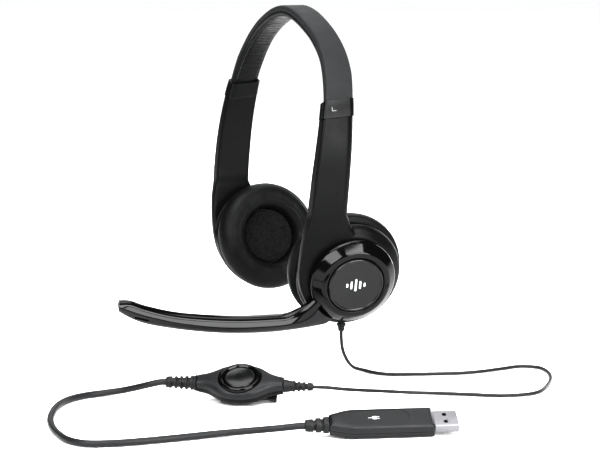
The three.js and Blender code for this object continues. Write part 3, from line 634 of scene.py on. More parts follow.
def spread_evenly(outline, count):
    """The closed outline as count points, evenly spaced along it from its first point."""
    closed = np.vstack([outline, outline[:1]])
    way = np.r_[0, np.cumsum(np.linalg.norm(np.diff(closed, axis=0), axis=1))]
    stops = np.linspace(0, way[-1], count, endpoint=False)
    return np.stack([np.interp(stops, way, closed[:, 0]), np.interp(stops, way, closed[:, 1])], 1)


def waves(x, y, seed, count, short, long):
    """A gentle sum of crosswise ripples, short to long millimetres apart."""
    rng = random.Random(seed)
    total = 0
    for _ in range(count):
        k = 2 * math.pi / rng.uniform(short, long)
        total = total + rng.uniform(0.4, 1) * np.sin(
            k * x + rng.uniform(-0.35, 0.35) * y + rng.uniform(0, 6.3)
            + 0.9 * np.sin(0.21 * y + rng.uniform(0, 6.3)))
    return total / count


def pad_section(s, way):
    """The padded strip: crowned, rippled across, and drawn in along its two stitched lines."""
    i = inset(s.z)
    a, b = i + 0.1, s.width - i - 0.1
    pts = [
        (a, 3.6), (b, 3.6), (b + 0.1, 4.9), (b - 1.0, 6.3), (s.width / 2, 6.85), (a + 1.0, 6.3),
        (a - 0.1, 4.9),
    ]
    n = 44
    q = spread_evenly(rounded(pts, [0.3, 0.3, 0.6, 1.6, 3.0, 1.6, 0.6], 5), n)
    inner = np.clip((q[:, 1] - 4.6) / 1.2, 0, 1)
    across = np.clip(np.minimum(q[:, 0] - a, b - q[:, 0]) / 2.5, 0, 1)
    ripple = 0.34 * waves(np.full(n, way), q[:, 0], 7, 7, 2.6, 7.5)
    seam = np.exp(-((q[:, 0] - a - 1.7) / 0.45) ** 2) + np.exp(-((b - 1.7 - q[:, 0]) / 0.45) ** 2)
    q[:, 1] += inner * (ripple * (0.35 + 0.65 * across) - 0.42 * seam)
    fade = min(max((s.z - 98) / 8, 0), 1)
    q[:, 1] = np.minimum(q[:, 1], 7.2 * fade + 6.7 * (1 - fade))
    return q


finish(make("band_cover_skin", *loft(over_top(BAND_END, 110, cover_section))), "headband", SOFT,
       ["headband_cover"], 35)
pad = finish(make("band_pad", *loft(over_top(BAND_END, 260, pad_section))), "headband", BAND_LEATHER,
             ["headband_cushion"], 60)


def ellipsoid(centre, ax, ay, az, seg, rings):
    """A stitch: its half axes are the vectors ax, ay and az."""
    v, f = [centre + az], []
    for i in range(1, rings):
        a = math.pi * i / rings
        for j in range(seg):
            b = 2 * math.pi * j / seg
            v.append(centre + az * math.cos(a) + (ax * math.cos(b) + ay * math.sin(b)) * math.sin(a))
    v.append(centre - az)
    for j in range(seg):
        f.append((0, 1 + j, 1 + (j + 1) % seg))
        last = 1 + (rings - 2) * seg
        f.append((len(v) - 1, last + (j + 1) % seg, last + j))
        for i in range(rings - 2):
            a, b = 1 + i * seg, 1 + (i + 1) * seg
            f.append((a + j, b + j, b + (j + 1) % seg, a + (j + 1) % seg))
    return np.array(v), f


STITCH_PITCH, STITCH_FROM_EDGE, STITCH_END = 1.9, 1.8, 97.5


def stitches():
    half = stations_down(BAND_TOP, STITCH_END, 500)
    way = ways_along(half)
    parts = []
    for k in range(int(way[-1] // STITCH_PITCH)):
        s = half[int(np.searchsorted(way, STITCH_PITCH / 2 + k * STITCH_PITCH))]
        for w in (inset(s.z) + STITCH_FROM_EDGE, s.width - inset(s.z) - STITCH_FROM_EDGE):
            deep = np.cross(s.t, [0, 1, 0]) * 0.22
            v, f = ellipsoid(s.at([(w, 6.02)])[0], np.array([0, 0.24, 0]), deep, s.t * 0.62, 6, 4)
            parts += [(v, f), (v * (-1, 1, 1), f)]
    return make("band_stitches", *joined(parts))


finish(stitches(), "headband", THREAD, (), 70)

# ---- end caps
CAP_SPAN, CAP_HOLLOW = (96.2, 86.7, 14), (98, 89.5, 6)  # highest, lowest, sections
G, FACE = 0.3, -0.4  # how far the cap stands out past the arm's edges, and its outer face


def cap_loft(name, outline, span, radii):
    return make(name, *loft([s.at(rounded(outline(s.width), radii)) for s in stations_down(*span)]))


def slot_cutter(low, high, spare):
    """The sliding strip's own section, with spare room round it, from low to high along the slide."""
    slide = np.array([-0.38, 0.13, 0.916])
    slide /= np.linalg.norm(slide)
    across = np.array([0, 1, 0]) - slide * slide[1]
    across /= np.linalg.norm(across)
    m = np.eye(4)
    m[:3, 0], m[:3, 1], m[:3, 2] = np.cross(across, slide), across, slide
    m[:3, 3] = (74.4, -10.9, 86.5)
    return moved(cuboid((-0.45 - spare, 0.45 + spare), (-4.5 - spare, 4.5 + spare), (low, high)), m)


cap_out = cap_loft("cap_outer", lambda w: [
    (-G, 3.3), (-G, 0.2), (0.6, FACE), (w - 2.9, FACE), (w - 0.5, 1.0), (w + G, 2.6), (w + G, 3.3),
], CAP_SPAN, [0.1, 0.5, 0.4, 0.25, 0.35, 0.4, 0.1])
boolean(cap_out, cap_loft("t", lambda w: [
    (0.3, 9), (0.3, 0.35), (w - 3.0, 0.35), (w - 0.9, 1.5), (w - 0.2, 2.7), (w - 0.2, 9),
], CAP_HOLLOW, [0, 0.2, 0.2, 0.2, 0.2, 0]))
cap_in = cap_loft("cap_inner", lambda w: [
    (-G, 3.55), (w + G, 3.55), (w + G, 6.8), (w - 0.8, 7.9), (0.8, 7.9), (-G, 6.8),
], CAP_SPAN, [0.1, 0.1, 0.4, 0.5, 0.5, 0.4])
boolean(cap_in, cap_loft("t", lambda w: [(0.3, 0), (w - 0.3, 0), (w - 0.3, 7.05), (0.3, 7.05)],
                         CAP_HOLLOW, 0.2))
for o, node in ((cap_out, "end_cap_outer"), (cap_in, "end_cap_inner")):
    boolean(o, slot_cutter(-20, 25, 0.35))
    other = mirror(o, o.name + "_r")
    o.name += "_l"
    finish_pair(o, other, HEADBANDS, CAP, [node], 30)


def strokes(name, lines, base, lift, wide):
    """Flat raised strokes in the cap's own surface: lines of (across, up) pairs, in mm."""
    s = Station(parameter_at(base[1]))
    origin, beside = s.at([(base[0], FACE), (base[0] + 1, FACE)])
    ex = (beside - origin) / np.linalg.norm(beside - origin)
    up = -s.t
    n = np.cross(ex, up)
    if n[0] < 0:
        n = -n
    parts = []
    for (a, b), (c, d) in lines:
        p, q = origin + ex * a + up * b, origin + ex * c + up * d
        way = (q - p) / np.linalg.norm(q - p)
        side = np.cross(n, way) * wide / 2
        v, f = cuboid((0, 1), (-1, 1), (-0.25, 1))
        v = [p + (q - p) * x - way * wide / 2 * (1 - 2 * x) + side * y + n * lift * z for x, y, z in v]
        parts.append((np.array(v), f))
    return make(name, *joined(parts))


mark_l = strokes("mark_left", [((0, 2.0), (0, 0)), ((0.3, 0), (2.2, 0))], (4.4, 90.4), 0.06, 0.36)
finish(mark_l, "headband", LABEL, (), 40)
mark_r = strokes("mark_right", [
    ((0, 2.1), (0, 0)), ((-0.3, 2.1), (-1.1, 2.1)), ((-1.3, 1.85), (-1.3, 1.35)),
    ((-0.3, 1.1), (-1.1, 1.1)), ((-0.75, 0.85), (-1.35, 0)),
], (8.2, 90.6), 0.08, 0.36)
finish(mirror(mark_r, "mark_right_m"), "headband", LABEL, (), 40)
bpy.data.objects.remove(mark_r)

# ---- arms with their bowls
ARM_TOP = 86.95  # the smoothing takes 0.4 mm off
ARM_LEVELS = [*np.linspace(ARM_TOP, 34, 34), *np.linspace(33, -17.8, 52)]
ARM_VOXEL = 0.55 * MM


def arm_ring(s):
    deep = min(max(5 + (s.z - 17) * 3 / 19, 5), 8)  # thinner where the arm becomes the cup's carrier
    w = s.width
    pts = [(0, 2.2), (0, 0.5), (1.0, 0), (w - 3.4, 0), (w - 0.9, 1.5), (w, 3.2), (w, deep), (0, deep)]
    return s.at(rounded(pts, [0.6, 0.6, 0.9, 1.2, 0.9, 0.7, 1.4, 1.4], 3))


arm = make("arm_left_skin", *loft([arm_ring(Station(parameter_at(z))) for z in ARM_LEVELS]))


def in_cup(name, mesh):
    """The piece from vertices and faces in the left cup's own frame."""
    return make(name, *moved(mesh, CUP))


boolean(arm, moved(lathe([(0, 14), (37, 14), (37, 44), (0, 44)], 96), CUP))
boolean(arm, moved(lathe([(0, -8), (28.4, -8), (28.4, 9.5), (25, 12), (0, 12)], 96), CUP))
bowl = fillet([
    (28.4, 7), (30, 7), (30, 9.4), (28.8, 11.2), (24.8, 14), (13, 14), (13, 20.3), (11, 20.3), (11, 11.4),
    (13, 11.4), (13, 12), (25, 12), (28.4, 9.5), (28.4, 7),
], [0, 0.4, 1.2, 1.0, 1.0, 0.6, 0.3, 0.3, 0.3, 0.3, 0.3, 0.6, 0.6, 0], 3)[:-1]
boolean(arm, moved(lathe(bowl, 128), CUP), "UNION")
m = arm.modifiers.new("r", "REMESH")
m.mode, m.voxel_size = "VOXEL", ARM_VOXEL
bake(arm)
m = arm.modifiers.new("s", "SMOOTH")
m.factor, m.iterations = 0.5, 3
bake(arm)
boolean(arm, slot_cutter(-6.3, 6, 0.3))
arm_r = mirror(arm, "arm_right_skin")
relief_hole = shift(-1.5, -30.2, 8.7) @ turn_x(-TILT)
bore = moved(lathe([(0, -1), (1.9, -1), (1.9, 5), (0, 5)], 32), turn_x(-math.pi / 2))
boolean(arm, moved(bore, CUP @ relief_hole))
finish_pair(arm, arm_r, FRAMES, SATIN_BLACK, ["arm_shell", "arm_cover", "arm_screw"], 42)

# ---- ring, disc and boom
RING = fillet([
    (13.4, 14.6), (17.6, 14.6), (18.4, 18.8), (21.0, 18.6), (22.6, 14.6), (24.4, 14.6), (24.4, 17.4),
    (23.8, 18.5), (19.7, 22.5), (18.9, 22.9), (17.2, 23.3), (16.3, 23.0), (16.3, 17.4), (13.4, 17.4),
    (13.4, 14.6),
], [0, 0.4, 0.3, 0.3, 0.3, 0.3, 0.5, 0.7, 0.5, 0.5, 0.5, 0.3, 0.2, 0.2, 0], 6)[:-1]
ring = in_cup("boom_ring_skin", lathe(RING, 160))
trim = mirror(ring, "trim_ring_skin")

# the boom in the cup's frame, row by row outwards: its top, crease and bottom lines, each as two
# coordinates, then its inner and outer levels
BOOM = np.array([
    (17, -2, 16, -9, 9, -22, 14.6, 20.5), (20.5, -8.1, 19.6, -14, 13.5, -25.4, 14.6, 20.6),
    (24.2, -12, 23, -18.6, 19.4, -26.4, 14.6, 20.7), (28.8, -15.2, 27.5, -21.6, 26, -27.2, 14.5, 20.8),
    (36.9, -18.7, 36.6, -23.2, 36.3, -27.9, 14, 21), (45.3, -19.1, 45, -23.7, 45, -28.3, 13.6, 21),
    (62, -19, 61.7, -23.7, 61.5, -28.2, 13.2, 20.6), (78.5, -17.9, 78.3, -22.6, 78, -27.1, 12.6, 19.8),
    (99.1, -15.2, 98.9, -19.2, 98.7, -24.3, 11.4, 18.2), (115.5, -10.9, 116.1, -14.9, 116.5, -20.4, 10, 16.4),
    (124, -7.8, 124.5, -12, 125, -16.6, 9.2, 15.2), (129.3, -7.4, 130, -10, 129.5, -13.8, 9.2, 14),
])


def boom_skin(name, section, radii):
    rings = []
    for u in np.linspace(0, 1, 90):
        row = on_curve(segments_of(BOOM), u)[0]
        pts = section(row[0:2], row[2:4], row[4:6], row[6], row[7])
        rings.append(rounded([(-p[0], p[1], level) for p, level in pts], radii))
    return in_cup(name, loft(rings))


def mixed(a, b, k):
    return a + (b - a) * k


upper = boom_skin("t_upper", lambda top, crease, bottom, low, high: [
    (top, low + 0.5), (top, high - 3.6), (mixed(top, crease, 0.3), high - 1.7),
    (mixed(crease, top, 0.03), high), (mixed(crease, top, 0.03), low), (mixed(top, bottom, 0.1), low),
], [0.8, 1.0, 1.0, 0.4, 0.3, 0.5])
lower = boom_skin("boom_lower_skin", lambda top, crease, bottom, low, high: [
    (mixed(crease, bottom, 0.03), high), (mixed(crease, bottom, 0.6), high - 0.9), (bottom, high - 2.6),
    (bottom, low + 0.7), (mixed(bottom, top, 0.12), low), (mixed(crease, bottom, 0.03), low),
], [0.3, 0.9, 1.2, 0.8, 0.5, 0.3])
boolean(ring, upper, "UNION")
boolean(lower, moved(lathe([(0, 5), (24.7, 5), (24.7, 35), (0, 35)], 96), CUP))
mic_slot = cuboid((-4, 4), (-0.65, 0.65), (-4, 4))
boolean(lower, moved(mic_slot, CUP @ shift(-117.5, -17, 16) @ turn_z(-0.24)))
finish(ring, "boom", GLOSS, ["boom_ring_shell"], 30)
finish(lower, "boom", PLASTIC, ["boom_lower_shell"], 30)
finish(trim, "right_arm", GLOSS, ["trim_ring_right"], 30)

DISC_PROFILE = fillet([
    (0, 21), (9.4, 21), (9.4, 19), (10.7, 19), (10.7, 20.6), (15.8, 20.6), (15.8, 23.3), (15.2, 23.85),
    (14.7, 23.85), (14.3, 23.45), (12, 23.25), (6, 22.8), (0, 22.65),
], [0, 0.2, 0.2, 0.2, 0.2, 0.2, 0.3, 0.2, 0.2, 0.15, 0.5, 1, 0], 4)
disc = in_cup("hub_disc_skin_l", lathe(DISC_PROFILE, 128))
disc_r = mirror(disc, "hub_disc_skin_r")
finish_pair(disc, disc_r, FRAMES, DISC, ["hub_disc"], 35)


def bars():
    """A generic mark of five sound bars on the disc."""
    parts = []
    for k, tall in enumerate((2.4, 4.8, 7.4, 4.8, 2.4)):
        x, y = (k - 2) * 2.5, tall / 2
        outline = rounded([(x - 0.6, -y), (x + 0.6, -y), (x + 0.6, y), (x - 0.6, y)], 0.55)
        level = 22.68 + 0.6 * (outline ** 2).sum(1) / 144  # the disc is slightly hollow
        parts.append(loft([flat(outline, level - 0.12), flat(outline, level + 0.08)]))
    return joined(parts)


mark = in_cup("sound_bars_l", bars())
finish_pair(mark, mirror(mark, "sound_bars_r"), FRAMES, MARK, (), 40)

# ---- ear cushions
CLOTH_FRAMES, CLOTH_LIMIT = 20, 0.7  # how long the cloth settles, and how far it may move in mm
PAD = [
    (16.9, 3.2), (16.75, -2), (17.6, -5.8), (20.0, -8.0), (22.6, -8.9), (26.5, -8.9), (29.6, -6.9),
    (31.6, -3.9), (32.2, -0.5), (31.7, 1.9), (30.1, 3.4), (26, 3.8), (18, 3.8),
]


def settled(o, start):
    """The cushion's points after its cover has settled as cloth under pressure, pinned at the back."""
    pin = o.vertex_groups.new(name="pin")
    pin.add([i for i, p in enumerate(start) if p[2] > 2.2], 1.0, "REPLACE")
    c = o.modifiers.new("cloth", "CLOTH")
    c.settings.quality = 6
    c.settings.mass = 0.2
    c.settings.tension_stiffness = c.settings.compression_stiffness = 8
    c.settings.shear_stiffness = 3
    c.settings.bending_stiffness = 0.05
    c.settings.shrink_min = -0.03
    c.settings.use_pressure = True
    c.settings.uniform_pressure_force = 4
    c.settings.vertex_group_mass = "pin"
    c.settings.effector_weights.gravity = 0
    c.collision_settings.use_self_collision = False
    c.collision_settings.use_collision = False
    c.point_cache.frame_start, c.point_cache.frame_end = 1, CLOTH_FRAMES
    for k in range(1, CLOTH_FRAMES + 1):
        scene.frame_set(k)
    got = o.evaluated_get(bpy.context.evaluated_depsgraph_get()).data
    co = np.zeros(len(got.vertices) * 3)
    got.vertices.foreach_get("co", co)
    step = co.reshape(-1, 3) / MM - start
    size = np.linalg.norm(step, axis=1, keepdims=True)
    o.modifiers.clear()
    scene.frame_set(1)
    return start + step * np.minimum(1, CLOTH_LIMIT / np.maximum(size, TINY))


def with_seams(p):
    """Seams round the outer edge and inside the ear hole, with radial puckers beside them."""
    r, a, s = np.hypot(p[:, 0], p[:, 1]), np.arctan2(p[:, 1], p[:, 0]), p[:, 2]
    unit = np.stack([np.cos(a), np.sin(a), np.zeros(len(a))], 1)
    out_seam = np.exp(-((s - 0.9) / 0.35) ** 2) * (r > 27)
    in_seam = np.exp(-((s + 2.6) / 0.4) ** 2) * (r < 20)
    pucker = np.zeros(len(a))
    for count, phase, share in ((41, 0.3, 0.5), (67, 1.7, 0.3), (29, 2.9, 0.35), (97, 4.1, 0.2)):
        pucker += np.sin(count * a + phase + 0.25 * s) * share
    near = np.exp(-((s - 0.9) / 2.2) ** 2) * (r > 27) + np.exp(-((s + 3.2) / 2.6) ** 2) * (r < 22)
    top = np.clip((-s - 5.5) / 3, 0, 1)
    p = p + unit * (0.16 * pucker * near - 0.45 * out_seam + 0.25 * in_seam)[:, None]
    p[:, 2] += 0.12 * top * (np.sin(9 * a + 1) * 0.6 + np.sin(23 * a + 2.2) * 0.4)
    return p


def inside_cad(p):
    """The points held inside the CAD cushion's radius and height."""
    inwards = np.minimum(1, 32.6 / np.maximum(np.hypot(p[:, 0], p[:, 1]), TINY))
    return np.stack([p[:, 0] * inwards, p[:, 1] * inwards, np.clip(p[:, 2], -9.4, 3.9)], 1)


def cushion():
    segs = segments_of(np.array(PAD + PAD[:1]))
    profile = spread_evenly([on_curve(segs, u)[0] for u in np.linspace(0, 1, 400)][:-1], 46)
    profile[:, 0] = np.maximum(profile[:, 0], 16.7)
    v, f = lathe(profile, 112)
    start = np.array(v)
    o = make("ear_pad_l", start, f)
    points = settled(o, start)
    set_points(o, place(inside_cad(with_seams(points)), CUP))
    m = o.modifiers.new("sub", "SUBSURF")
    m.levels = m.render_levels = 1
    bake(o)
    return o


ear_l = cushion()
ear_r = mirror(ear_l, "ear_pad_r")
finish_pair(ear_l, ear_r, CUPS, LEATHER, ["ear_cushion"], 75)

cloth_l = in_cup("ear_foam_l", lathe([
    (0, -2.45), (4, -2.43), (8, -2.36), (12, -2.25), (15, -2.12), (15.9, -1.95), (16.1, -1.7),
    (15.9, -1.4), (0, -1.4),
], 96))
cloth_r = mirror(cloth_l, "ear_foam_r")
finish_pair(cloth_l, cloth_r, CUPS, SCRIM, ["ear_scrim"], 50)

# the cups' backs with their pivot pins
HOUSING = fillet([
    (0, 8.4), (13.6, 8.2), (23.2, 6.8), (25.3, 5.9), (25.3, 4.6), (26.8, 4.6), (26.8, 6.4), (24, 8.3),
    (14, 9.8), (5, 10), (5, 18.3), (0, 18.3),
], 0.4, 3)
house = in_cup("cup_back_l", lathe(HOUSING, 96))
pin = moved(lathe([(0, -8.9), (0.85, -8.9), (0.85, 8.9), (0, 8.9)], 16), turn_y(math.pi / 2))
boolean(house, moved(pin, CUP @ shift(0, 0, 16.5)), "UNION")
finish_pair(house, mirror(house, "cup_back_r"), CUPS, PLASTIC, ["speaker_housing"], 35)

# ---- boots
def boot_mesh(length, thick, thin, ribs, stem, bore, deep, share, collar):
    """The flanges on their core as a mesh along +X, the first flange's start and the pitch."""
    core = [(0, -2.4), (stem, -2.4), (stem, 0.3)]
    start = 0.3
    if collar:
        core += [(thick + 0.55, 0.3), (thick - 0.35, collar)]
        start = collar + 0.01
    pitch = (length - start) / ribs
    for i in range(ribs):
        r = thick + (thin - thick) * i / max(1, ribs - 1)
        x = start + i * pitch
        core += [(r, x + 0.02), (r - 0.1, x + share * pitch)]
        if i + 1 < ribs:
            core += [(r - deep, x + share * pitch + 0.02), (r - deep, x + pitch)]
        else:
            core += [(r - 0.35, length)]
    core += [(bore, length), (bore, length - 2), (0, length - 2)]
    v, f = lathe(fillet(core, 0.14, 2), 40)
    return place(v, turn_y(math.pi / 2)), f, start, pitch


def boot(name, m, node, length, thick, thin, ribs, stem, bore, deep, share, collar=0.0):
    """A ribbed bend relief: flanges on a core, with notches cut crosswise in turn.

    thick and thin are the first and the last flange's radius, deep the depth between flanges and
    share a flange's part of the pitch. A collar is a longer first ring.
    """
    v, f, start, pitch = boot_mesh(length, thick, thin, ribs, stem, bore, deep, share, collar)
    o = make(name, v, f)
    cutters = []
    for i in range(ribs - 1):
        r = thick + (thin - thick) * i / max(1, ribs - 1)
        x = (start + (i + share) * pitch + 0.05, start + (i + 1) * pitch + 0.02)
        inner = r - deep - 0.75
        for y in ((-r - 2, -inner), (inner, r + 2)):
            span = (-r * 0.62, r * 0.62)
            cutters.append(cuboid(x, y, span) if i % 2 else cuboid(x, span, y))
    boolean(o, joined(cutters))
    return finish(placed(o, m), "left_frame", BOOT, [node], 30)


FLIP = turn_z(math.pi)
boot_a = boot("relief_cup", CUP @ relief_hole @ turn_z(-math.pi / 2), "cord_strain_relief",
              4.6, 2.6, 1.9, 2, 1.6, 1.25, 0.6, 0.6)
boot_b = boot("boot_headset_side", CONTROLLER @ shift(23.5, 0, 0), "controller_boot_headset",
              15.8, 3.05, 2.3, 4, 2.1, 1.25, 0.85, 0.42, 5.0)
boot_c = boot("boot_usb_side", CONTROLLER @ shift(-23.5, 0, 0) @ FLIP, "controller_boot_usb",
              17, 3.9, 3.3, 5, 2.1, 2.05, 1.0, 0.36, 2.4)
boot_d = boot("boot_plug", PLUG @ shift(-26.5, 0, 0) @ FLIP, "plug_boot",
              12, 4.2, 3.3, 3, 2, 2.05, 1.1, 0.66)

# ---- controller
# length, half width and half height along the controller
PEBBLE = np.array([
    (-23.5, 4.3, 3.7), (-20, 4.9, 4.1), (-16.5, 6.3, 4.5), (-13, 8.8, 4.8), (-10, 10.9, 5),
    (-6.5, 12.3, 5.2), (-2.5, 13, 5.25), (2.5, 13, 5.25), (6.5, 12.3, 5.2), (10, 10.9, 5),
    (13, 8.8, 4.8), (16.5, 6.3, 4.5), (20, 4.9, 4.1), (23.5, 4.3, 3.6),
])
PEBBLE_EDGE = 0.35


def squared(x):
    """The sine or cosine x drawn towards a rounded square's."""
    return np.sign(x) * np.abs(x) ** 0.6


def pebble(name):
    segs = segments_of(PEBBLE)
    rows = [on_curve(segs, u)[0] for u in np.linspace(0, 1, 90)]
    (x0, wide0, high0), (x1, wide1, high1) = rows[0], rows[-1]
    e = PEBBLE_EDGE
    rows = [
        (x0, wide0 - e, high0 - e), (x0 + e, wide0, high0),
        *(row for row in rows if x0 + 0.8 < row[0] < x1 - 0.8),
        (x1 - e, wide1, high1), (x1, wide1 - e, high1 - e),
    ]
    turns = np.linspace(0, 2 * np.pi, 72, endpoint=False)
    c, s = squared(np.cos(turns)), squared(np.sin(turns))
    return make(name, *loft([np.stack([np.full(72, x), wide * c, high * s], 1) for x, wide, high in rows]))


top = pebble("controller_top_skin")
boolean(top, cuboid((-60, 60), (-60, 60), (-60, 0.12)))
boolean(top, lathe(fillet([(0, 0.9), (11.9, 0.9), (11.9, 9), (0, 9)], 0.2), 128))
finish(placed(top, CONTROLLER), "left_frame", PLASTIC, ["controller_top_shell"], 30)
low = pebble("controller_bottom_skin")
boolean(low, cuboid((-60, 60), (-60, 60), (-0.12, 60)))
for side in (-1, 1):
    y = side * 4.9
    boolean(low, cuboid((-10.6, -7.4), (y - 0.6, y + 0.6), (-8.2, -4.0)), "UNION")
finish(placed(low, CONTROLLER), "left_frame", SATIN_BLACK, ["controller_bottom_shell"], 30)
vring = make("volume_ring_skin", *lathe(fillet([
    (8.7, 1.2), (11.1, 1.2), (11.1, 3), (11.55, 3.5), (11.55, 4.9), (10.6, 5.9), (9.7, 5.75),
    (8.7, 4.9), (8.7, 1.2),
], [0, 0.2, 0.2, 0.2, 0.7, 0.7, 0.5, 0.3, 0], 6)[:-1], 128))
finish(placed(vring, CONTROLLER), "volume_dial", GLOSS, ["volume_ring"], 32)
button = make("mute_button_skin", *lathe(fillet([
    (0, 3.3), (8.3, 3.3), (8.3, 5.0), (7.7, 5.4), (6.4, 5.15), (3.5, 4.8), (0, 4.7),
], [0, 0.2, 0.4, 0.5, 0.8, 1.5, 0], 6), 96))
finish(placed(button, CONTROLLER), "mute_key", DISC, ["mute_button"], 32)
CLIP = [
    (-11.9, -8.3), (-11.6, -7.2), (-10.9, -6.4), (-10.0, -5.8), (-7.8, -5.8), (-6.8, -7.3), (3, -7.5),
    (12.5, -5.75), (15, -5.7), (19.6, -7.2), (19.2, -8.6), (14, -7.2), (4, -8.95), (-9, -8.98),
]


def shrunk(q, k):
    """The closed outline drawn in by k."""
    ahead, d = np.roll(q, -1, 0), np.roll(q, -1, 0) - np.roll(q, 1, 0)
    normal = np.stack([d[:, 1], -d[:, 0]], 1)
    normal /= np.maximum(np.linalg.norm(normal, axis=1, keepdims=True), 1e-9)
    turns_left = np.sum(q[:, 0] * ahead[:, 1] - ahead[:, 0] * q[:, 1]) > 0
    return q - normal * k * (1 if turns_left else -1)


CLIP_SIDES = ((-4, 0.25), (-3.75, 0.06), (-3.5, 0), (3.5, 0), (3.75, 0.06), (4, 0.25))
clip = make("clothing_clip_skin", *loft([flat(shrunk(rounded(CLIP, 0.9), k), y, 1) for y, k in CLIP_SIDES]))
bore = lathe([(0, -7), (1.05, -7), (1.05, 7), (0, 7)], 32)
boolean(clip, moved(bore, shift(-9, 0, -7.2) @ turn_x(math.pi / 2)))
finish(placed(clip, CONTROLLER), "clip", PLASTIC, ["clothing_clip"], 32)

# ---- USB plug
def plug_plan(trim):
    """The plug's outline from above, drawn in by trim."""
    t = trim
    half = [
        (-26.5 + t, -4.4 + t * 0.6), (-16.8 + t * 0.4, -7.9 + t), (25.9 - t, -7.9 + t), (26.5 - t, -7.3 + t),
    ]
    pts = half + [(x, -y) for x, y in half[::-1]]
    return rounded(pts, [0.8, 3.2, 0.5, 0.5, 0.5, 0.5, 3.2, 0.8], 6)


PLUG_LEVELS = ((0.12, 0.0), (2.4, 0.0), (2.9, 0.12), (3.35, 0.5), (3.75, 1.05), (3.93, 1.35), (4.0, 1.7))
LABEL_FIELD = [
    (-16.2, -4.2), (-14.6, -5.9), (10.4, -5.9), (13.6, -3.2), (14.4, 0), (13.6, 3.2), (10.4, 5.9),
    (-14.6, 5.9), (-16.2, 4.2),
]

for side, where in ((1, "top"), (-1, "bottom")):
    o = make(f"plug_{where}_skin", *loft([flat(plug_plan(trim), z * side) for z, trim in PLUG_LEVELS]))
    boolean(o, cuboid((18, 40), (-6.2, 6.2), (-2.45, 2.45)))
    if side > 0:
        p = rounded(LABEL_FIELD, [1, 1.5, 3, 2, 2, 2, 3, 1.5, 1], 5)
        boolean(o, loft([flat(p, 3.82), flat(p * (1.01, 1.03), 4.3)]))
    finish(placed(o, PLUG), "left_frame", PLASTIC, [f"plug_{where}_shell"], 28)


def rectangle(x0, x1, y0, y1, r):
    return rounded([(x0, y0), (x1, y0), (x1, y1), (x0, y1)], r)


def plug_icon():
    """A generic pictogram of a plug: a rounded body, two prongs and a tail."""
    outlines = [
        rectangle(-1.3, 1.1, -1.2, 1.2, 0.7), rectangle(1.25, 2.4, 0.45, 0.85, 0.1),
        rectangle(1.25, 2.4, -0.85, -0.45, 0.1), rectangle(-3.4, -1.4, -0.18, 0.18, 0.1),
    ]
    return joined([loft([flat(p, 3.74), flat(p, 3.87)]) for p in outlines])


icon = make("plug_pictogram", *plug_icon())
finish(placed(icon, PLUG @ shift(-3.5, 0, 0)), "left_frame", MARK, (), 40)

# the metal shell with softened edges and two windows, and the contacts on the tongue
shell = make("usb_metal_shell", *loft([
    flat(p, x, 0)
    for x, p in ((26.9, rectangle(-6, 6, -2.25, 2.25, 0.5)), (38.8, rectangle(-6, 6, -2.25, 2.25, 0.5)),
                 (39.0, rectangle(-5.85, 5.85, -2.1, 2.1, 0.5)))
]))
boolean(shell, cuboid((25, 42), (-5.65, 5.65), (-1.9, 1.9)))
for side in (-1, 1):
    boolean(shell, cuboid((31.4, 33.4), (side * 2.7 - 1, side * 2.7 + 1), (-4, 4)))
inner = make("t", *cuboid((19, 27.0), (-5.85, 5.85), (-2.1, 2.1)))
boolean(inner, cuboid((18, 40), (-5.6, 5.6), (-1.85, 1.85)))
boolean(shell, inner, "UNION")
finish(placed(shell, PLUG), "left_frame", STEEL, ["usb_shell"], 30)
contacts = make("usb_contacts", *joined([
    cuboid((27.5, 37.2), (y - 0.55, y + 0.55), (0.1, 0.22)) for y in (-3.5, -1.1, 1.1, 3.5)
]))
finish(placed(contacts, PLUG), "left_frame", GOLD, (), 30)

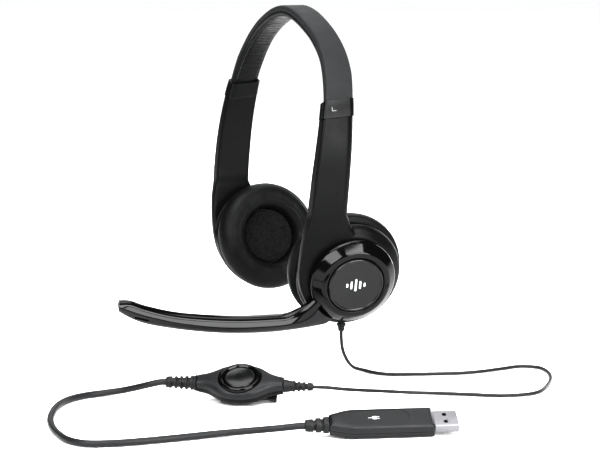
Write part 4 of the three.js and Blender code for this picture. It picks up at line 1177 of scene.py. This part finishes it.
# ---- floor and light
FLOOR_SIZE, FLOOR_LEVEL = 40, -0.0642  # half its side, and just under the lowest piece, in m
floor = bpy.data.meshes.new("floor")
corners = [(x * FLOOR_SIZE, y * FLOOR_SIZE, FLOOR_LEVEL) for x, y in ((-1, -1), (1, -1), (1, 1), (-1, 1))]
floor.from_pydata(corners, [], [(0, 1, 2, 3)])
ground = bpy.data.objects.new("floor", floor)
scene.collection.objects.link(ground)
ground.data.materials.append(material("floor_paper", (0.9, 0.9, 0.9), 0.9, spec=0.0, vary=(2, 0.005)))

world = bpy.data.worlds.new("world")
scene.world = world
world.use_nodes = True
background = world.node_tree.nodes["Background"]
background.inputs["Color"].default_value = (0.93, 0.95, 1.0, 1)
background.inputs["Strength"].default_value = 0.12


def area(name, position, aim, size, power):
    """A rectangular light: all lengths in m, its power in W."""
    l = bpy.data.lights.new(name, "AREA")
    l.shape, l.size, l.size_y, l.energy = "RECTANGLE", size[0], size[1], power
    o = bpy.data.objects.new(name, l)
    scene.collection.objects.link(o)
    o.location = position
    o.rotation_mode = "QUATERNION"
    o.rotation_quaternion = (Vector(aim) - Vector(position)).to_track_quat("-Z", "Y")


sun = bpy.data.lights.new("sun", "SUN")
sun.energy, sun.angle = 3.35, rad(46)
sun_o = bpy.data.objects.new("sun", sun)
scene.collection.objects.link(sun_o)
sun_o.rotation_euler = (rad(20), rad(14), 0)
area("key", (0.75, -0.86, 0.57), (0.06, -0.01, 0.01), (0.9, 0.45), 20)
area("top", (-0.7, 0.27, 0.85), (0.05, -0.06, 0.0), (0.8, 0.6), 6)
area("high", (1.0, 0.1, 0.72), (0.08, -0.07, -0.03), (0.8, 0.34), 17)
area("back", (-1.05, 0.42, 0.46), (0.08, -0.05, 0.0), (1.4, 0.45), 3)
area("side", (1.35, 0.28, 0.32), (0.07, -0.03, 0.0), (0.8, 0.5), 21)
area("rim", (-0.5, 1.15, 0.3), (0.07, 0, 0.06), (0.35, 0.8), 9)
area("over", (0.15, -0.05, 1.1), (0.08, -0.06, -0.05), (0.9, 0.7), 14)
scene.view_settings.view_transform = "Standard"
scene.view_settings.look = "None"
scene.view_settings.gamma = 0.76
